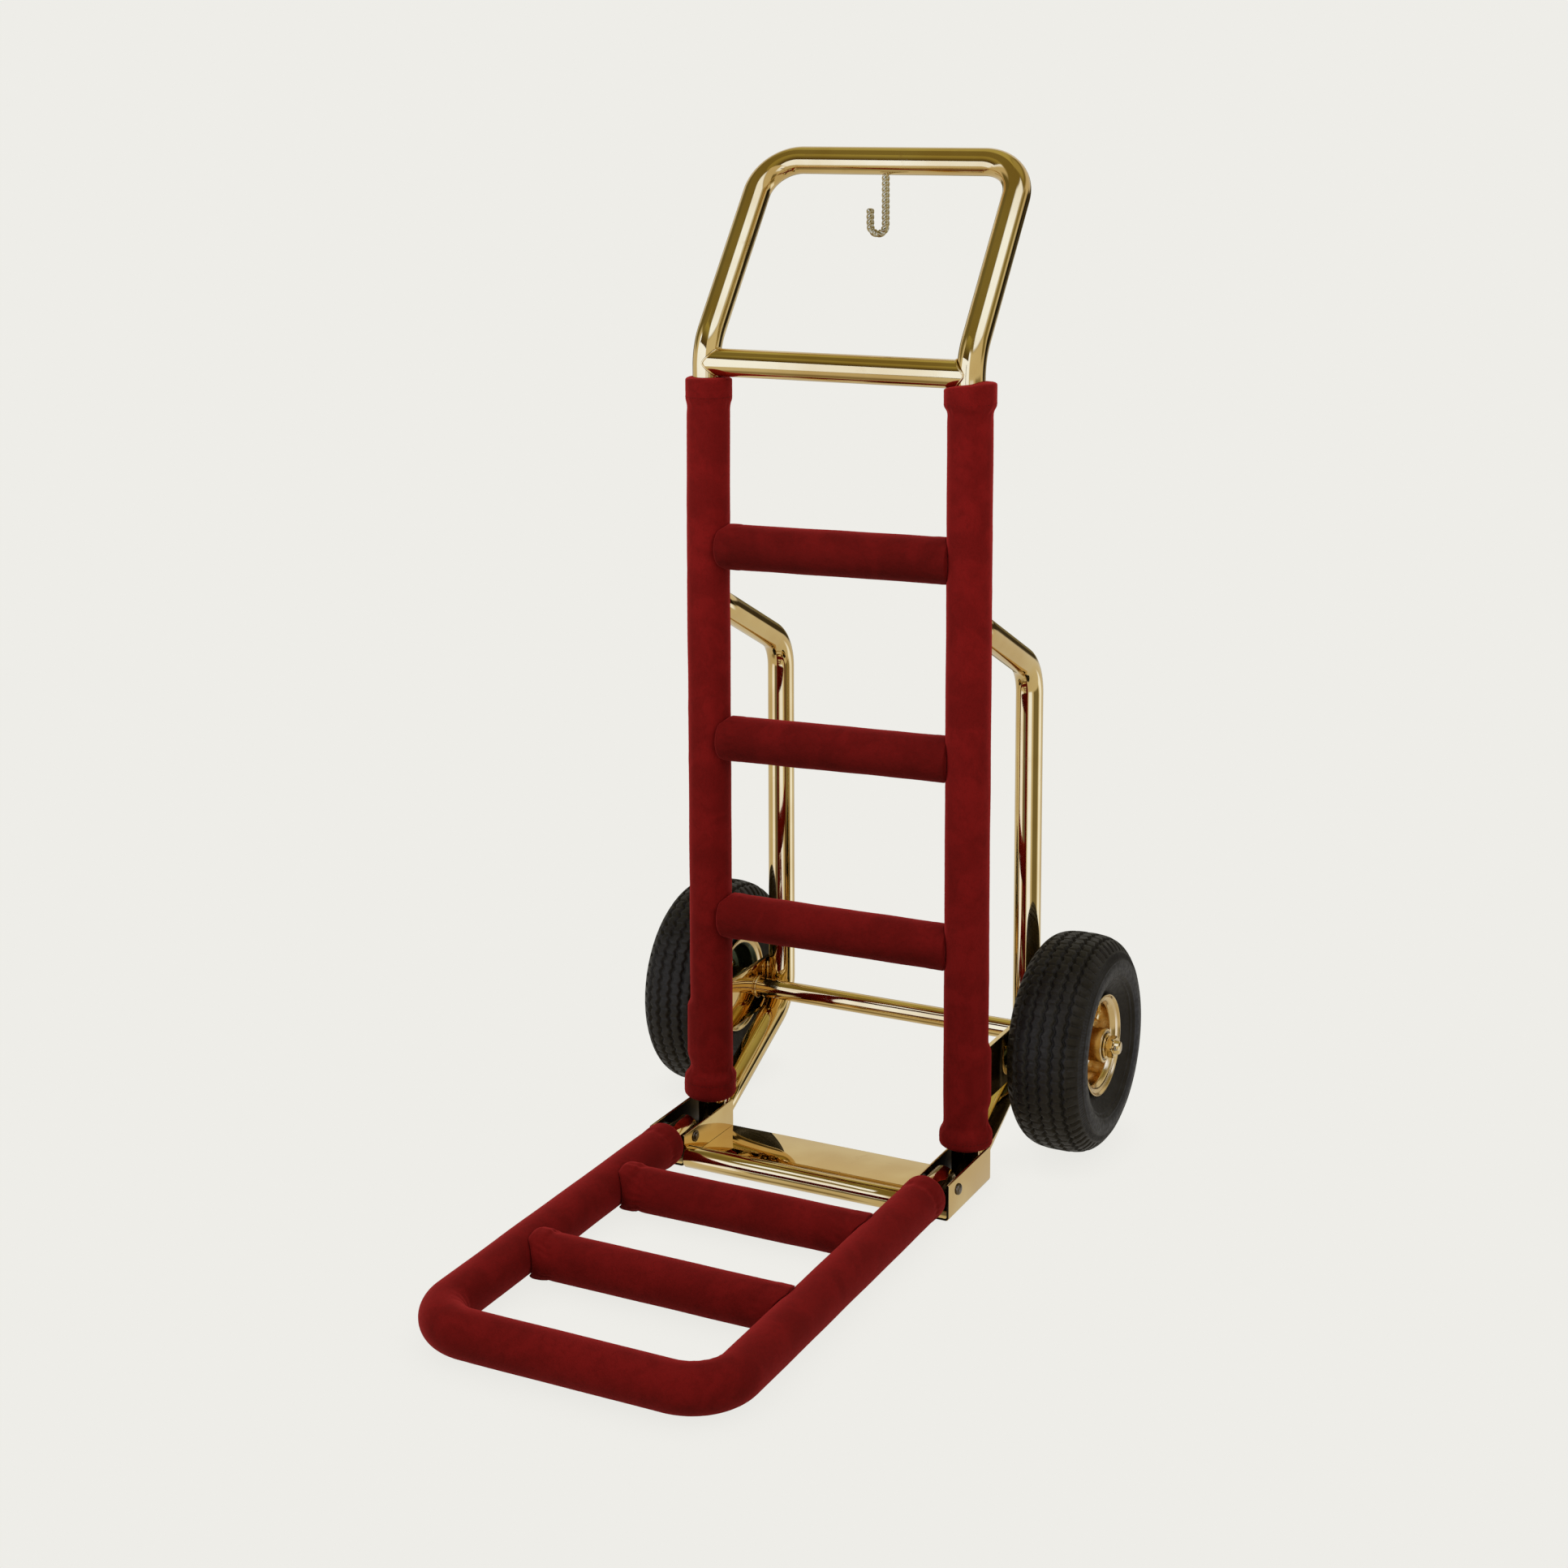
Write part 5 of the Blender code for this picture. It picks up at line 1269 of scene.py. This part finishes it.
env = panel(env, 126, 149, -10, 12, (0.015, 0.012, 0.008), 4, 4)
env = panel(env, 147, 190, -7, 5, (0.045, 0.036, 0.020), 4, 2)              # and the dark wall they stand against
env = panel(env, -190, -116, -7, 5, (0.17, 0.14, 0.065), 5, 2)
env = panel(env, -112, -78, 8, 44, (0.16, 0.14, 0.06), 7, 5)
env = panel(env, -28, 6, -24, -10, (0.16, 0.15, 0.14), 3, 3)             # bands near the floor
env = panel(env, 14, 42, -26, -6, (1.05, 1.32, 2.5), 4, 3)
env = panel(env, 56, 104, -24, -4, (0.20, 0.175, 0.10), 5, 3)
env = panel(env, 112, 140, -26, -11, (1.05, 1.25, 2.0), 5, 3)
env = panel(env, -56, -34, -26, -11, (1.05, 1.25, 2.2), 4, 3)
env = panel(env, -172, -150, -30, -8, (0.22, 0.19, 0.10), 5, 4)
env = panel(env, -75, -35, -72, -50, (0.26, 0.22, 0.15), 12, 7)          # the cart's own dark side, low

bg_cam = W.new("ShaderNodeBackground", Color=(*PALE, 1.0), Strength=1.0)
bg_gloss = W.new("ShaderNodeBackground", Color=env, Strength=1.0)
grad = W.mix(W.maprange(el, -40.0, 55.0), (0.30, 0.295, 0.28), (1.0, 0.99, 0.97))
bg_diff = W.new("ShaderNodeBackground", Color=grad, Strength=0.62)
m1 = W.new("ShaderNodeMixShader")
W.set(m1, 0, wl.outputs["Is Glossy Ray"])
world.node_tree.links.new(bg_diff.outputs[0], m1.inputs[1])
world.node_tree.links.new(bg_gloss.outputs[0], m1.inputs[2])
m2 = W.new("ShaderNodeMixShader")
W.set(m2, 0, wl.outputs["Is Camera Ray"])
world.node_tree.links.new(m1.outputs[0], m2.inputs[1])
world.node_tree.links.new(bg_cam.outputs[0], m2.inputs[2])
world.node_tree.links.new(m2.outputs[0], wo.inputs[0])


def board(name, corners, colour, low=None):
    """A board close to the handle that only the brass can see; "low" is its colour along the bottom edge."""
    me = bpy.data.meshes.new(name)
    me.from_pydata(corners, [], [(0, 1, 2, 3)])
    ob = bpy.data.objects.new(name, me)
    sc.collection.objects.link(ob)
    ob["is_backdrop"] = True
    for flag in ("visible_camera", "visible_diffuse", "visible_shadow", "visible_transmission",
                 "visible_volume_scatter"):
        setattr(ob, flag, False)
    m = bpy.data.materials.new(name)
    m.use_nodes = True
    m.node_tree.nodes.clear()
    B = Nodes(m.node_tree)
    o = B.new("ShaderNodeOutputMaterial")
    e = B.new("ShaderNodeEmission", Color=(*colour, 1.0), Strength=1.0)
    if low:
        pos = B.new("ShaderNodeTexCoord").outputs["Object"]
        z = B.new("ShaderNodeSeparateXYZ", Vector=pos).outputs[2]
        z0, z1 = corners[0][2], corners[2][2]
        B.set(e, "Color", B.mix(B.maprange(z, z0, z0 + (z1 - z0) * 0.75), low, colour))
    m.node_tree.links.new(e.outputs[0], o.inputs[0])
    me.materials.append(m)
    return ob


b_az, b_d, b_w = math.radians(-25.0), 0.62, 0.36
bc = Vector((math.sin(b_az), -math.cos(b_az), 0)) * b_d
bt = Vector((math.cos(b_az), math.sin(b_az), 0)) * b_w


def board_face(z0, z1, tilt=0.0):
    return [tuple(bc - bt + Vector((0, 0, z0))), tuple(bc + bt + Vector((0, 0, z0))),
            tuple(bc + bt + Vector((0, 0, z1))), tuple(bc - bt + Vector((0, 0, z1)))]


board("board_white", board_face(0.66, 1.225), WHITE)
board("board_dark", board_face(1.226, 1.95), (0.33, 0.30, 0.110), (0.085, 0.060, 0.022))
board("board_strip", [(0.071, -0.262, 0.78), (0.087, -0.256, 0.78), (0.087, -0.256, 1.01), (0.071, -0.262, 1.01)],
      (0.02, 0.016, 0.01))


def area(name, loc, target, size, power, colour=(1, 1, 1)):
    ld = bpy.data.lights.new(name, "AREA")
    ld.shape = "RECTANGLE"
    ld.size, ld.size_y = size
    ld.energy = power
    ld.color = colour
    ob = bpy.data.objects.new(name, ld)
    sc.collection.objects.link(ob)
    ob.location = loc
    d = Vector(target) - Vector(loc)
    ob.rotation_mode = "QUATERNION"
    ob.rotation_quaternion = d.to_track_quat("-Z", "Y")
    ob.visible_camera = False
    ob.visible_glossy = False
    return ob


area("key_left", (-1.6, -2.6, 2.4), (0, -0.1, 0.5), (1.6, 1.6), 38)
area("fill_right", (2.6, -1.0, 2.2), (0, 0, 0.5), (1.8, 1.8), 26)
area("rim_back", (-0.8, 2.6, 2.4), (0, 0, 0.5), (1.8, 1.2), 24)

# ------------------------------------------------------------------------ camera
yaw, pitch, roll = (math.radians(a) for a in (26.6594, 8.0914, -0.1862))
back = Vector((math.sin(yaw) * math.cos(pitch), -math.cos(yaw) * math.cos(pitch), math.sin(pitch)))
fwd = -back
right = fwd.cross(Vector((0, 0, 1))).normalized()
up = right.cross(fwd)
r2 = right * math.cos(roll) + up * math.sin(roll)
u2 = -right * math.sin(roll) + up * math.cos(roll)
M = Matrix((r2, u2, back)).transposed().to_4x4()
M.translation = Vector((1.2253, -2.5688, 1.2279))
cd = bpy.data.cameras.new("camera")
cam = bpy.data.objects.new("camera", cd)
sc.collection.objects.link(cam)
cam.matrix_world = M
cd.sensor_width = 36.0
cd.lens = 3165.22 / 1932 * 36.0
cd.clip_start, cd.clip_end = 0.05, 60.0
# the lens is shifted only at this viewpoint; any other view looks straight at the cart
drv = cd.driver_add("shift_y").driver
drv.type = "SCRIPTED"
var = drv.variables.new()
var.name = "cx"
var.type = "SINGLE_PROP"
var.targets[0].id_type = "OBJECT"
var.targets[0].id = cam
var.targets[0].data_path = "location[0]"
drv.expression = "-0.21014 if abs(cx - 1.2253) < 0.0005 else 0.0"
sc.camera = cam

lo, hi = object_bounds()
